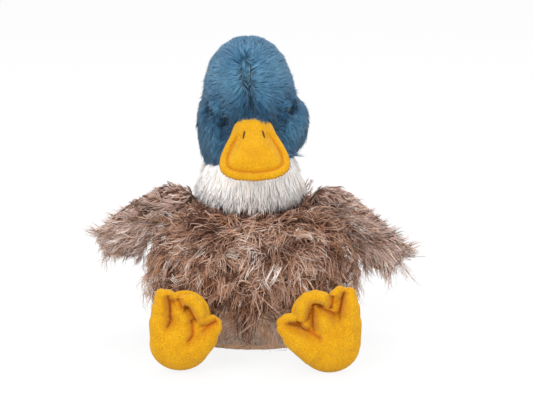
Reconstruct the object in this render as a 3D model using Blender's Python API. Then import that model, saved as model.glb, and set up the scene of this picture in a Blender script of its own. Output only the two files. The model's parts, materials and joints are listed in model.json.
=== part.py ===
"""A seated plush duck, built as the covers, fillings and trim it is sewn from.

Metres, +Z up. The duck sits on Z = 0 and looks along -Y. The origin is the centre of its flat
seat. Left and right are the duck's own, so left is +X. Every cover's outer surface is the middle
of its pile.
"""

import math

import bmesh
import bpy
import numpy as np
from mathutils import Matrix, Vector

# Clearances
GAP = 0.0003            # between pieces that lie on each other
RUN_GAP = 0.0009        # between round seats that turn on each other
MERGE = 0.00001         # vertices closer than this are one
REACH = 0.5             # how far a flat cut runs past the duck
SHARP_ANGLE = math.radians(50)
SPARE_ANGLE = math.radians(1)   # what a trimmed root clears past its joint's limit
FORE_AXIS = Vector((0, 1, 0))

# Body: one ellipsoid, cut flat where it sits
BODY_HALF_WIDTH = 0.071
BODY_HALF_DEPTH = 0.058
BODY_HALF_HEIGHT = 0.066
BODY_SINK = 0.020       # height of the ellipsoid lost below the seat
BODY_COVER_THICK = 0.006
UNDERBODY_THICK = 0.003
UNDERBODY_HEIGHT = 0.034
BEAN_BAG_HEIGHT = 0.019
BODY_CENTRE = Vector((0, 0, BODY_HALF_HEIGHT - BODY_SINK))
BODY_TOP = BODY_CENTRE.z + BODY_HALF_HEIGHT

# Neck: a stuffed ball in a ring of long pile, half sunk in the body
NECK_RADIUS = 0.036
NECK_COVER_THICK = 0.005
NECK_RISE = 0.004       # the ball's centre above the top of the body
NECK_FORWARD = 0.004
NECK_MOUTH_BELOW = 0.024
NECK_MOUTH_ABOVE = 0.026
NECK_CENTRE = Vector((0, -NECK_FORWARD, BODY_TOP + NECK_RISE))

# Head: a dome, a muzzle, a nape and two cheeks under one sewn cover
HEAD_HEIGHT = 0.097     # crown above the neck ball's centre
HEAD_COVER_THICK = 0.004
DOME_HALF_WIDTH = 0.0300
DOME_HALF_DEPTH = 0.032
DOME_HALF_HEIGHT = 0.042
MUZZLE_HALF_WIDTH = 0.027
MUZZLE_HALF_DEPTH = 0.028
MUZZLE_HALF_HEIGHT = 0.028
MUZZLE_FORWARD = 0.008
MUZZLE_DROP = 0.018     # below the dome's centre
CHEEK_HALF_WIDTH = 0.0205
CHEEK_HALF_DEPTH = 0.028
CHEEK_HALF_HEIGHT = 0.029
CHEEK_OUT = 0.0195
CHEEK_BACK = 0.002
CHEEK_DROP = 0.0240
NAPE_HALF_WIDTH = 0.033
NAPE_HALF_DEPTH = 0.029
NAPE_HALF_HEIGHT = 0.032
NAPE_BACK = 0.008
NAPE_DROP = 0.014
DOME_CENTRE = NECK_CENTRE + Vector((0, 0, HEAD_HEIGHT - DOME_HALF_HEIGHT))

# Bill: a padded paddle that points forward and down from the muzzle
BILL_LENGTH = 0.052
BILL_HALF_WIDTH = 0.0248
BILL_HALF_THICK = 0.0085
BILL_CLOTH = 0.0018
BILL_PITCH = math.radians(47)
BILL_ROOT_FORWARD = 0.028    # from the neck ball's centre
BILL_ROOT_RISE = 0.047
BILL_STATION_SHARE = (0, 0.04, 0.12, 0.3, 0.55, 0.75, 0.88, 0.96, 1)
BILL_WIDTH_SHARE = (0, 0.45, 0.56, 0.62, 0.86, 1, 0.9, 0.6, 0)
BILL_THICK_SHARE = (0, 0.7, 1, 1, 0.8, 0.66, 0.6, 0.42, 0)
NOSTRIL_LENGTH = 0.0052
NOSTRIL_RADIUS = 0.0005
NOSTRIL_OUT = 0.0066
NOSTRIL_ALONG_SHARE = 0.38
NOSTRIL_SPLAY = math.radians(12)

# Eyes: domes on stems, each locked by a washer inside the head
EYE_RADIUS = 0.004
EYE_OUT = 0.0262
EYE_FORWARD = 0.017     # from the neck ball's centre
EYE_RISE = 0.049
EYE_TURN = math.radians(32)  # the stem's angle from straight sideways, toward the front
STEM_RADIUS = 0.0016
STEM_LENGTH = 0.0135
WASHER_RADIUS = 0.0055
WASHER_THICK = 0.0012
WASHER_DEPTH = 0.010    # from the eye's centre to the washer's outer face

# Wings: flat padded panels that flap at the shoulder
WING_LENGTH = 0.081
WING_HALF_CHORD = 0.024
WING_HALF_THICK = 0.011
WING_COVER_THICK = 0.004
WING_ROOT_BACK = 0.008  # how far the panel starts inside its hinge
WING_SAG = 0.004        # how far the panel's middle hangs below its hinge
WING_JOINT_OUT = 0.047
WING_JOINT_RADIUS = 0.009
WING_MOUTH_DEPTH = 0.005
WING_DROOP = math.radians(26.5)
WING_DROOP_EXTRA = {"left": math.radians(4), "right": -math.radians(4.5)}
WING_LOWER_LIMIT = math.radians(5)
WING_STATION_SHARE = (0, 0.03, 0.1, 0.3, 0.6, 0.85, 0.95, 1)
WING_CHORD_SHARE = (0, 0.5, 0.8, 1, 0.9, 0.58, 0.34, 0)
WING_THICK_SHARE = (0, 0.6, 0.85, 1, 0.84, 0.62, 0.42, 0)

# Tail: a small upturned tuft with its own filling
TAIL_LENGTH = 0.040
TAIL_HALF_WIDTH = 0.015
TAIL_HALF_THICK = 0.008
TAIL_COVER_THICK = 0.003
TAIL_JOINT_HEIGHT = 0.042
TAIL_JOINT_RADIUS = 0.0075
TAIL_MOUTH_DEPTH = 0.004
TAIL_RISE = math.radians(35)
TAIL_LIMIT = math.radians(12)
TAIL_STATION_SHARE = (0, 0.05, 0.2, 0.5, 0.8, 0.95, 1)
TAIL_WIDTH_SHARE = (0, 0.5, 0.8, 1, 0.78, 0.4, 0)
TAIL_THICK_SHARE = (0, 0.6, 0.95, 1, 0.7, 0.4, 0)

# Legs: short padded tubes from the body to the feet
LEG_CLOTH = 0.0018
HIP_RADIUS = 0.012
HIP_OUT = 0.038
HIP_FORWARD = 0.050
HIP_HEIGHT = 0.024
HIP_MOUTH_DEPTH = 0.006
ANKLE_RADIUS = 0.011
ANKLE_OUT = 0.045
ANKLE_MOUTH_DEPTH = 0.006
LEG_LENGTH = 0.031

# Feet: webbed pads that stand on their heels with the soles facing forward
FOOT_CLOTH = 0.0018
FOOT_AHEAD = 0.014      # from the ankle to the seam between sole and instep
FOOT_FLAT = 0.0005      # depth of the flat that stands on the floor
HEEL_HALF_WIDTH = 0.0208
HEEL_HALF_HEIGHT = 0.0190
HEEL_HALF_THICK = 0.0090
HEEL_SHIFT = 0.0025     # outward from the ankle
WEB_HALF_WIDTH = 0.0205
WEB_HALF_HEIGHT = 0.0205
WEB_HALF_THICK = 0.0055
WEB_HEIGHT = 0.0310
TOE_HALF_THICK = 0.0080
OUTER_TOE_HALF_LENGTH = 0.0210
OUTER_TOE_HALF_WIDTH = 0.0095
OUTER_TOE_SHIFT = 0.0130
OUTER_TOE_HEIGHT = 0.0365
OUTER_TOE_LEAN = math.radians(-3)
MIDDLE_TOE_HALF_LENGTH = 0.0190
MIDDLE_TOE_HALF_WIDTH = 0.0095
MIDDLE_TOE_SHIFT = -0.0015
MIDDLE_TOE_HEIGHT = 0.0345
MIDDLE_TOE_LEAN = math.radians(-6)
INNER_TOE_HALF_LENGTH = 0.0195
INNER_TOE_HALF_WIDTH = 0.0090
INNER_TOE_SHIFT = -0.0105
INNER_TOE_HEIGHT = 0.0275
INNER_TOE_LEAN = math.radians(-52)

SIDES = {"left": 1, "right": -1}

# Facets round each form: segments and rings
BODY_FACETS = (24, 12)
FILLING_FACETS = (20, 10)
HEAD_FACETS = (18, 10)
HEAD_FILLING_FACETS = (12, 8)
NECK_FACETS = (24, 12)
JOINT_FACETS = (12, 7)
PANEL_FACETS = (14, 8)
TAIL_FACETS = (10, 7)
TOE_FACETS = (10, 6)
EYE_FACETS = (10, 6)
THREAD_FACETS = (6, 5)

# Colours: red, green and blue of each cloth, and how rough it is
COLOURS = {
    "brown_pile": ((0.32, 0.25, 0.20), 0.95),
    "cream_plush": ((0.80, 0.72, 0.62), 0.95),
    "white_pile": ((0.88, 0.85, 0.82), 0.95),
    "blue_plush": ((0.13, 0.27, 0.40), 0.9),
    "yellow_velour": ((0.92, 0.50, 0.03), 0.85),
    "filling": ((0.90, 0.90, 0.88), 1.0),
    "pellet_cloth": ((0.75, 0.72, 0.66), 0.9),
    "black_plastic": ((0.01, 0.01, 0.012), 0.12),
    "clear_plastic": ((0.75, 0.76, 0.78), 0.4),
    "black_thread": ((0.03, 0.02, 0.02), 0.8),
}


def clear_scene():
    """Remove whatever the file opened with."""
    for existing in list(bpy.data.objects):
        bpy.data.objects.remove(existing, do_unlink=True)


def new_collection(name):
    """Make a collection in the scene."""
    collection = bpy.data.collections.new(name)
    bpy.context.scene.collection.children.link(collection)
    return collection


def make_materials():
    """Make one Principled material for each cloth and plastic."""
    made = {}
    for name, (colour, roughness) in COLOURS.items():
        material = bpy.data.materials.new(name)
        material.use_nodes = True
        shader = material.node_tree.nodes["Principled BSDF"]
        shader.inputs["Base Color"].default_value = (*colour, 1)
        shader.inputs["Roughness"].default_value = roughness
        material.diffuse_color = (*colour, 1)
        made[name] = material
    return made


def place(bm, name, matrix=None):
    """Turn a bmesh into an object, with its vertices moved by a matrix."""
    if matrix is not None:
        bm.transform(matrix)
    mesh = bpy.data.meshes.new(name)
    bm.to_mesh(mesh)
    bm.free()
    shape = bpy.data.objects.new(name, mesh)
    bpy.context.scene.collection.objects.link(shape)
    return shape


def ellipsoid(centre, radii, facets, turn=None):
    """Make an ellipsoid, turned about its own centre."""
    bm = bmesh.new()
    bmesh.ops.create_uvsphere(bm, u_segments=facets[0], v_segments=facets[1], radius=1)
    matrix = Matrix.Translation(centre)
    if turn is not None:
        matrix = matrix @ turn.to_4x4()
    return place(bm, "ellipsoid", matrix @ Matrix.Diagonal((*radii, 1)))


def ball(centre, radius, facets=JOINT_FACETS):
    """Make a sphere whose poles point up and down."""
    return ellipsoid(centre, (radius, radius, radius), facets)


def swell(length, half_width, half_thick, shares, facets, matrix, inset=0):
    """Make a padded panel along local +X: a sphere drawn out to stated widths.

    The panel is half_width across local Y and half_thick across local Z, each times its share at
    that station. An inset draws every side in by that much. Its faces are triangles, because a
    sphere's four-sided faces bend when it is drawn out.
    """
    stations, widths, thicks = shares
    bm = bmesh.new()
    bmesh.ops.create_uvsphere(bm, u_segments=facets[0], v_segments=facets[1], radius=1)
    for vertex in bm.verts:
        across, up, along = vertex.co
        station = (along + 1) / 2
        around = math.hypot(across, up)
        if around > 0:
            across, up = across / around, up / around
        width = float(np.interp(station, stations, widths)) * (half_width - inset)
        thick = float(np.interp(station, stations, thicks)) * (half_thick - inset)
        vertex.co = (inset + station * (length - 2 * inset), across * width, up * thick)
    bmesh.ops.triangulate(bm, faces=bm.faces)
    return place(bm, "swell", matrix)


def capsule(start, start_radius, end, end_radius, facets=JOINT_FACETS):
    """Make a tapered tube with round ends: the two halves of a sphere drawn apart."""
    axis = end - start
    turn = Vector((0, 0, 1)).rotation_difference(axis).to_matrix()
    bm = bmesh.new()
    bmesh.ops.create_uvsphere(bm, u_segments=facets[0], v_segments=facets[1], radius=1)
    for vertex in bm.verts:
        far = vertex.co.z > 0
        spread = turn @ vertex.co
        vertex.co = end + spread * end_radius if far else start + spread * start_radius
    return place(bm, "capsule")


def rod(start, end, radius, facets=EYE_FACETS):
    """Make a plain cylinder between two points."""
    axis = end - start
    turn = Vector((0, 0, 1)).rotation_difference(axis).to_matrix().to_4x4()
    bm = bmesh.new()
    bmesh.ops.create_cone(bm, cap_ends=True, segments=facets[0], radius1=radius,
                          radius2=radius, depth=axis.length)
    return place(bm, "rod", Matrix.Translation((start + end) / 2) @ turn)


def half_space(point, normal):
    """Make a large block that fills the side of a plane that its normal points to."""
    turn = Vector((0, 0, 1)).rotation_difference(normal).to_matrix().to_4x4()
    bm = bmesh.new()
    bmesh.ops.create_cube(bm, size=REACH)
    lift = Matrix.Translation((0, 0, REACH / 2))
    return place(bm, "half_space", Matrix.Translation(point) @ turn @ lift)


def weld(mesh):
    """Merge the slivers that a cut leaves."""
    bm = bmesh.new()
    bm.from_mesh(mesh)
    bmesh.ops.remove_doubles(bm, verts=bm.verts, dist=MERGE)
    bmesh.ops.dissolve_degenerate(bm, dist=MERGE, edges=bm.edges)
    bm.to_mesh(mesh)
    bm.free()


def combine(target, operands, operation):
    """Join or cut a solid with others, which are used up."""
    for operand in operands:
        modifier = target.modifiers.new("boolean", "BOOLEAN")
        modifier.operation = operation
        modifier.solver = "EXACT"
        modifier.object = operand
        depsgraph = bpy.context.evaluated_depsgraph_get()
        result = bpy.data.meshes.new_from_object(target.evaluated_get(depsgraph))
        weld(result)
        target.modifiers.clear()
        spent = target.data
        target.data = result
        bpy.data.meshes.remove(spent)
        bpy.data.objects.remove(operand, do_unlink=True)
    return target


def join(target, *operands):
    """Fuse solids into one."""
    return combine(target, operands, "UNION")


def cut(target, *operands):
    """Take solids away from another."""
    return combine(target, operands, "DIFFERENCE")


class Bench:
    """Holds what every finished piece needs: its collection, materials and pivots."""

    def __init__(self):
        """Make the collection, the materials and an empty for each joint."""
        self.parts = new_collection("plush_duck")
        self.materials = make_materials()
        self.pivots = {}

    def pivot(self, name, place_at, parent=None):
        """Put an empty on a joint's centre, under the empty that carries it."""
        empty = bpy.data.objects.new(name, None)
        self.parts.objects.link(empty)
        empty.empty_display_size = NECK_RADIUS
        origin = Vector((0, 0, 0))
        if parent is not None:
            empty.parent = self.pivots[parent][0]
            origin = self.pivots[parent][1]
        empty.location = place_at - origin
        self.pivots[name] = (empty, place_at)

    def finish(self, shape, name, material, pivot=None):
        """Name a solid, give it its material and hang it on its pivot."""
        shape.data.shade_smooth()
        shape.data.set_sharp_from_angle(angle=SHARP_ANGLE)
        shape.name = name
        shape.data.name = name
        shape.data.materials.clear()
        shape.data.materials.append(self.materials[material])
        for collection in list(shape.users_collection):
            collection.objects.unlink(shape)
        self.parts.objects.link(shape)
        if pivot is not None:
            empty, origin = self.pivots[pivot]
            shape.data.transform(Matrix.Translation(-origin))
            shape.parent = empty
        return shape


def mirrored(vector, side):
    """Give a place on the duck's left its twin on the stated side."""
    return Vector((SIDES[side] * vector[0], vector[1], vector[2]))


def neck_ball(clearance):
    """The ball that every joint of the neck turns on, grown by a clearance."""
    return ball(NECK_CENTRE, NECK_RADIUS + clearance, NECK_FACETS)


def body_form(offset, facets):
    """The body's whole ellipsoid, grown by an offset."""
    radii = (BODY_HALF_WIDTH + offset, BODY_HALF_DEPTH + offset, BODY_HALF_HEIGHT + offset)
    return ellipsoid(BODY_CENTRE, radii, facets)


def wing_joint(side):
    """The centre of a wing's hinge, on the body's surface beside the neck."""
    share = WING_JOINT_OUT / BODY_HALF_WIDTH
    rise = BODY_HALF_HEIGHT * math.sqrt(1 - share ** 2)
    return mirrored((WING_JOINT_OUT, 0, BODY_CENTRE.z + rise), side)


def tail_joint():
    """The centre of the tail's hinge, on the back of the body."""
    share = (TAIL_JOINT_HEIGHT - BODY_CENTRE.z) / BODY_HALF_HEIGHT
    return Vector((0, BODY_HALF_DEPTH * math.sqrt(1 - share ** 2), TAIL_JOINT_HEIGHT))


def hip_joint(side):
    """The centre of a leg's hinge, low on the front of the body."""
    return mirrored((HIP_OUT, -HIP_FORWARD, HIP_HEIGHT), side)


def ankle_joint(side):
    """The centre of a foot's hinge, at the front end of the leg."""
    return mirrored((ANKLE_OUT, -HIP_FORWARD - LEG_LENGTH, HIP_HEIGHT), side)


def seats_in_body():
    """The round seats that the neck, wings, legs and tail turn in."""
    seats = [neck_ball(RUN_GAP), ball(tail_joint(), TAIL_JOINT_RADIUS + RUN_GAP)]
    for side in SIDES:
        seats.append(ball(wing_joint(side), WING_JOINT_RADIUS + RUN_GAP))
        seats.append(ball(hip_joint(side), HIP_RADIUS + RUN_GAP))
    return seats


def head_form(offset, facets):
    """The dome, muzzle, nape and cheeks as one solid, grown by an offset."""
    def lobe(out, forward, drop, radii):
        centre = DOME_CENTRE + Vector((out, -forward, -drop))
        return ellipsoid(centre, [radius + offset for radius in radii], facets)

    cheek = (CHEEK_HALF_WIDTH, CHEEK_HALF_DEPTH, CHEEK_HALF_HEIGHT)
    dome = lobe(0, 0, 0, (DOME_HALF_WIDTH, DOME_HALF_DEPTH, DOME_HALF_HEIGHT))
    return join(
        dome,
        lobe(0, -NAPE_BACK, NAPE_DROP, (NAPE_HALF_WIDTH, NAPE_HALF_DEPTH, NAPE_HALF_HEIGHT)),
        lobe(CHEEK_OUT, -CHEEK_BACK, CHEEK_DROP, cheek),
        lobe(-CHEEK_OUT, -CHEEK_BACK, CHEEK_DROP, cheek),
        lobe(0, MUZZLE_FORWARD, MUZZLE_DROP,
             (MUZZLE_HALF_WIDTH, MUZZLE_HALF_DEPTH, MUZZLE_HALF_HEIGHT)),
    )


def bill_matrix():
    """The bill's frame: local X along it, local Y across, local Z out of its top."""
    along = Vector((0, -math.cos(BILL_PITCH), -math.sin(BILL_PITCH)))
    across = Vector((1, 0, 0))
    turn = Matrix((along, across, along.cross(across))).transposed().to_4x4()
    root = NECK_CENTRE + Vector((0, -BILL_ROOT_FORWARD, BILL_ROOT_RISE))
    return Matrix.Translation(root) @ turn


def bill_form(inset):
    """The padded paddle, drawn in by an inset."""
    shares = (BILL_STATION_SHARE, BILL_WIDTH_SHARE, BILL_THICK_SHARE)
    return swell(BILL_LENGTH, BILL_HALF_WIDTH, BILL_HALF_THICK, shares, PANEL_FACETS,
                 bill_matrix(), inset)


def nostril_thread(side, clearance):
    """One straight stitch that lies half sunk in the top of the bill."""
    station = NOSTRIL_ALONG_SHARE
    thick = BILL_HALF_THICK * float(np.interp(station, BILL_STATION_SHARE, BILL_THICK_SHARE))
    width = BILL_HALF_WIDTH * float(np.interp(station, BILL_STATION_SHARE, BILL_WIDTH_SHARE))
    out = NOSTRIL_OUT * SIDES[side]
    height = thick * math.sqrt(1 - (NOSTRIL_OUT / width) ** 2)
    half = Vector((math.cos(NOSTRIL_SPLAY), SIDES[side] * math.sin(NOSTRIL_SPLAY), 0))
    half *= NOSTRIL_LENGTH / 2
    middle = Vector((station * BILL_LENGTH, out, height))
    frame = bill_matrix()
    radius = NOSTRIL_RADIUS + clearance
    return capsule(frame @ (middle - half), radius, frame @ (middle + half), radius,
                   THREAD_FACETS)


def eye_axis(side):
    """A point at an eye's centre, and the direction its stem runs into the head."""
    centre = mirrored((EYE_OUT, NECK_CENTRE.y - EYE_FORWARD, NECK_CENTRE.z + EYE_RISE), side)
    inward = mirrored((-math.cos(EYE_TURN), math.sin(EYE_TURN), 0), side)
    return centre, inward


def eye_pocket(side):
    """The room that an eye, its stem and its washer take in the head, with clearance."""
    centre, inward = eye_axis(side)
    washer_start = centre + inward * (WASHER_DEPTH - GAP)
    stem_end = centre + inward * (STEM_LENGTH + GAP)
    return (
        ball(centre, EYE_RADIUS + GAP, EYE_FACETS),
        rod(centre, stem_end, STEM_RADIUS + GAP),
        rod(washer_start, stem_end, WASHER_RADIUS + GAP),
    )


def wing_matrix(side):
    """A wing's frame: local X toward its tip, local Y up its chord, local Z its thickness."""
    droop = WING_DROOP + WING_DROOP_EXTRA[side]
    along = mirrored((math.cos(droop), 0, -math.sin(droop)), side)
    chord = mirrored((math.sin(droop), 0, math.cos(droop)), side)
    turn = Matrix((along, chord, along.cross(chord))).transposed().to_4x4()
    start = wing_joint(side) - along * WING_ROOT_BACK - chord * WING_SAG
    return Matrix.Translation(start) @ turn


def turned_body(pivot, angle):
    """The body as a wing on its hinge meets it after the wing has turned the other way."""
    form = body_form(RUN_GAP, BODY_FACETS)
    spin = Matrix.Rotation(angle, 4, FORE_AXIS)
    form.data.transform(Matrix.Translation(pivot) @ spin @ Matrix.Translation(-pivot))
    return form


def wing_panel(side, inset):
    """A wing's panel without its round root, drawn in by an inset."""
    shares = (WING_STATION_SHARE, WING_CHORD_SHARE, WING_THICK_SHARE)
    return swell(WING_LENGTH, WING_HALF_CHORD, WING_HALF_THICK, shares, PANEL_FACETS,
                 wing_matrix(side), inset)


def wing_form(side, inset):
    """A wing's panel, cut clear of the body, with the round root that it turns on."""
    joint = wing_joint(side)
    inward = Vector((-SIDES[side], 0, 0))
    lowered = SIDES[side] * -(WING_LOWER_LIMIT + SPARE_ANGLE)
    panel = cut(wing_panel(side, inset), body_form(RUN_GAP, BODY_FACETS),
                turned_body(joint, lowered))
    root = ball(joint, WING_JOINT_RADIUS - inset)
    return cut(join(panel, root), half_space(joint + inward * WING_MOUTH_DEPTH, inward))


def tail_matrix():
    """The tail's frame: local X toward its tip, local Y across, local Z its thickness."""
    along = Vector((0, math.cos(TAIL_RISE), math.sin(TAIL_RISE)))
    across = Vector((1, 0, 0))
    turn = Matrix((along, across, along.cross(across))).transposed().to_4x4()
    return Matrix.Translation(tail_joint()) @ turn


def tail_tuft(inset):
    """The tail's tuft without its round root, drawn in by an inset."""
    shares = (TAIL_STATION_SHARE, TAIL_WIDTH_SHARE, TAIL_THICK_SHARE)
    return swell(TAIL_LENGTH, TAIL_HALF_WIDTH, TAIL_HALF_THICK, shares, TAIL_FACETS,
                 tail_matrix(), inset)


def tail_form(inset):
    """The tail's tuft, cut clear of the body, with the round root that it turns on."""
    joint = tail_joint()
    swing = TAIL_HALF_THICK / math.cos(TAIL_RISE) * math.sin(TAIL_LIMIT + SPARE_ANGLE)
    tuft = cut(tail_tuft(inset), half_space(joint + FORE_AXIS * (swing + RUN_GAP), -FORE_AXIS))
    root = ball(joint, TAIL_JOINT_RADIUS - inset)
    return cut(join(tuft, root), half_space(joint - FORE_AXIS * TAIL_MOUTH_DEPTH, -FORE_AXIS))


def foot_form(side, inset):
    """The heel and three toes as one pad, cut flat where it stands."""
    ankle = ankle_joint(side)

    def pad(shift, height, half_width, half_length, half_thick, lean):
        centre = Vector((ankle.x + SIDES[side] * shift, ankle.y - FOOT_AHEAD, height))
        turn = Matrix.Rotation(SIDES[side] * lean, 3, "Y")
        radii = (half_width - inset, half_thick - inset, half_length - inset)
        return ellipsoid(centre, radii, TOE_FACETS, turn)

    heel_height = HEEL_HALF_HEIGHT - FOOT_FLAT
    heel = pad(HEEL_SHIFT, heel_height, HEEL_HALF_WIDTH, HEEL_HALF_HEIGHT, HEEL_HALF_THICK, 0)
    whole = join(
        heel,
        pad(0, WEB_HEIGHT, WEB_HALF_WIDTH, WEB_HALF_HEIGHT, WEB_HALF_THICK, 0),
        pad(OUTER_TOE_SHIFT, OUTER_TOE_HEIGHT, OUTER_TOE_HALF_WIDTH, OUTER_TOE_HALF_LENGTH,
            TOE_HALF_THICK, OUTER_TOE_LEAN),
        pad(INNER_TOE_SHIFT, INNER_TOE_HEIGHT, INNER_TOE_HALF_WIDTH, INNER_TOE_HALF_LENGTH,
            TOE_HALF_THICK, INNER_TOE_LEAN),
        pad(MIDDLE_TOE_SHIFT, MIDDLE_TOE_HEIGHT, MIDDLE_TOE_HALF_WIDTH, MIDDLE_TOE_HALF_LENGTH,
            TOE_HALF_THICK, MIDDLE_TOE_LEAN),
    )
    return cut(whole, half_space(Vector((0, 0, inset)), Vector((0, 0, -1))))


def build_body(bench):
    """The brown cover, the cream underbody, the filling and the pellet bag."""
    up, down = Vector((0, 0, 1)), Vector((0, 0, -1))
    hem = Vector((0, 0, UNDERBODY_HEIGHT))
    split = up * (GAP / 2)
    cover = cut(body_form(0, BODY_FACETS), body_form(-BODY_COVER_THICK, FILLING_FACETS),
                half_space(hem + split, down), *seats_in_body())
    bench.finish(cover, "body_cover", "brown_pile")

    room = cut(body_form(-BODY_COVER_THICK, FILLING_FACETS),
               half_space(up * UNDERBODY_THICK, down))
    underbody = cut(body_form(0, BODY_FACETS), half_space(Vector((0, 0, 0)), down),
                    half_space(hem - split, up), room, *seats_in_body())
    bench.finish(underbody, "underbody_cover", "cream_plush")

    bag_top = up * BEAN_BAG_HEIGHT
    filling = cut(body_form(-BODY_COVER_THICK - GAP, FILLING_FACETS),
                  half_space(bag_top + split, down), *seats_in_body())
    bench.finish(filling, "body_stuffing", "filling")

    bag = cut(body_form(-BODY_COVER_THICK - GAP, FILLING_FACETS),
              half_space(up * (UNDERBODY_THICK + GAP), down), half_space(bag_top - split, up),
              *seats_in_body())
    bench.finish(bag, "bean_bag", "pellet_cloth")


def build_neck(bench):
    """The ring of white pile and the stuffed ball inside it."""
    up = Vector((0, 0, 1))
    inner = NECK_RADIUS - NECK_COVER_THICK
    ring = cut(neck_ball(0), ball(NECK_CENTRE, inner, NECK_FACETS),
               half_space(NECK_CENTRE - up * NECK_MOUTH_BELOW, -up),
               half_space(NECK_CENTRE + up * NECK_MOUTH_ABOVE, up))
    bench.finish(ring, "neck_ring", "white_pile", "neck_turn_pivot")
    core = ball(NECK_CENTRE, inner - RUN_GAP, FILLING_FACETS)
    bench.finish(core, "neck_stuffing", "filling", "neck_tilt_pivot")


def build_head(bench):
    """The two sewn halves of the head's cover and the filling in them."""
    for side, sign in SIDES.items():
        outward = Vector((sign, 0, 0))
        panel = cut(head_form(0, HEAD_FACETS), half_space(outward * (GAP / 2), -outward),
                    *eye_pocket(side), head_form(-HEAD_COVER_THICK, HEAD_FILLING_FACETS),
                    neck_ball(RUN_GAP))
        bench.finish(panel, "head_panel_" + side, "blue_plush", "head_nod_pivot")
    filling = cut(head_form(-HEAD_COVER_THICK - GAP, HEAD_FILLING_FACETS), neck_ball(RUN_GAP),
                  *eye_pocket("left"), *eye_pocket("right"))
    bench.finish(filling, "head_stuffing", "filling", "head_nod_pivot")


def build_eyes(bench):
    """The black domes on their stems, and the washers that lock them."""
    for side in SIDES:
        centre, inward = eye_axis(side)
        eye = join(ball(centre, EYE_RADIUS, EYE_FACETS),
                   rod(centre, centre + inward * STEM_LENGTH, STEM_RADIUS))
        bench.finish(eye, "eye_" + side, "black_plastic", "head_nod_pivot")
        face = centre + inward * WASHER_DEPTH
        back = face + inward * WASHER_THICK
        washer = cut(rod(face, back, WASHER_RADIUS),
                     rod(face - inward * WASHER_THICK, back + inward * WASHER_THICK,
                         STEM_RADIUS + GAP))
        bench.finish(washer, "eye_washer_" + side, "clear_plastic", "head_nod_pivot")


def build_bill(bench):
    """The bill's two velour panels, its filling and the nostril stitches."""
    frame = bill_matrix()
    origin = frame.to_translation()
    outward = frame.to_3x3() @ Vector((0, 0, 1))
    seam = outward * (GAP / 2)
    threads = [nostril_thread(side, GAP) for side in SIDES]
    upper = cut(bill_form(0), half_space(origin + seam, -outward), bill_form(BILL_CLOTH),
                *threads, head_form(GAP, HEAD_FACETS))
    bench.finish(upper, "bill_upper", "yellow_velour", "head_nod_pivot")
    lower = cut(bill_form(0), half_space(origin - seam, outward), bill_form(BILL_CLOTH),
                head_form(GAP, HEAD_FACETS))
    bench.finish(lower, "bill_lower", "yellow_velour", "head_nod_pivot")
    filling = cut(bill_form(BILL_CLOTH + GAP), head_form(GAP, HEAD_FACETS))
    bench.finish(filling, "bill_stuffing", "filling", "head_nod_pivot")
    for side in SIDES:
        bench.finish(nostril_thread(side, 0), "nostril_" + side, "black_thread",
                     "head_nod_pivot")


def build_wings(bench):
    """Each wing's cover and filling, open at the root."""
    for side in SIDES:
        pivot = "wing_pivot_" + side
        bore = ball(wing_joint(side), WING_JOINT_RADIUS - WING_COVER_THICK)
        cover = cut(wing_form(side, 0), wing_panel(side, WING_COVER_THICK), bore)
        bench.finish(cover, "wing_cover_" + side, "brown_pile", pivot)
        filling = wing_form(side, WING_COVER_THICK + GAP)
        bench.finish(filling, "wing_stuffing_" + side, "filling", pivot)


def build_tail(bench):
    """The tail's cover and filling, open at the root."""
    bore = ball(tail_joint(), TAIL_JOINT_RADIUS - TAIL_COVER_THICK)
    cover = cut(tail_form(0), tail_tuft(TAIL_COVER_THICK), bore)
    bench.finish(cover, "tail_cover", "brown_pile", "tail_pivot")
    bench.finish(tail_form(TAIL_COVER_THICK + GAP), "tail_stuffing", "filling", "tail_pivot")


def leg_form(side, inset):
    """A leg's tapered tube, open at both ends, drawn in by an inset."""
    hip, ankle = hip_joint(side), ankle_joint(side)
    along = (ankle - hip).normalized()
    tube = capsule(hip, HIP_RADIUS - inset, ankle, ANKLE_RADIUS - inset)
    return cut(tube, half_space(hip - along * HIP_MOUTH_DEPTH, -along),
               half_space(ankle + along * ANKLE_MOUTH_DEPTH, along))


def build_legs(bench):
    """Each leg's velour tube and its filling."""
    for side in SIDES:
        hip, ankle = hip_joint(side), ankle_joint(side)
        pivot = "hip_pivot_" + side
        bore = capsule(hip, HIP_RADIUS - LEG_CLOTH, ankle, ANKLE_RADIUS - LEG_CLOTH)
        cover = cut(leg_form(side, 0), bore)
        bench.finish(cover, "leg_cover_" + side, "yellow_velour", pivot)
        filling = leg_form(side, LEG_CLOTH + GAP)
        bench.finish(filling, "leg_stuffing_" + side, "filling", pivot)


def build_feet(bench):
    """Each foot's sole, instep and filling."""
    for side in SIDES:
        ankle = ankle_joint(side)
        pivot = "ankle_pivot_" + side
        forward = Vector((0, -1, 0))
        seam = ankle + forward * FOOT_AHEAD
        seat = ANKLE_RADIUS + RUN_GAP
        sole = cut(foot_form(side, 0), half_space(seam + forward * (GAP / 2), -forward),
                   foot_form(side, FOOT_CLOTH))
        bench.finish(sole, "foot_sole_" + side, "yellow_velour", pivot)
        instep = cut(foot_form(side, 0), half_space(seam - forward * (GAP / 2), forward),
                     foot_form(side, FOOT_CLOTH), ball(ankle, seat))
        bench.finish(instep, "foot_instep_" + side, "yellow_velour", pivot)
        filling = cut(foot_form(side, FOOT_CLOTH + GAP), ball(ankle, seat))
        bench.finish(filling, "foot_stuffing_" + side, "filling", pivot)


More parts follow.
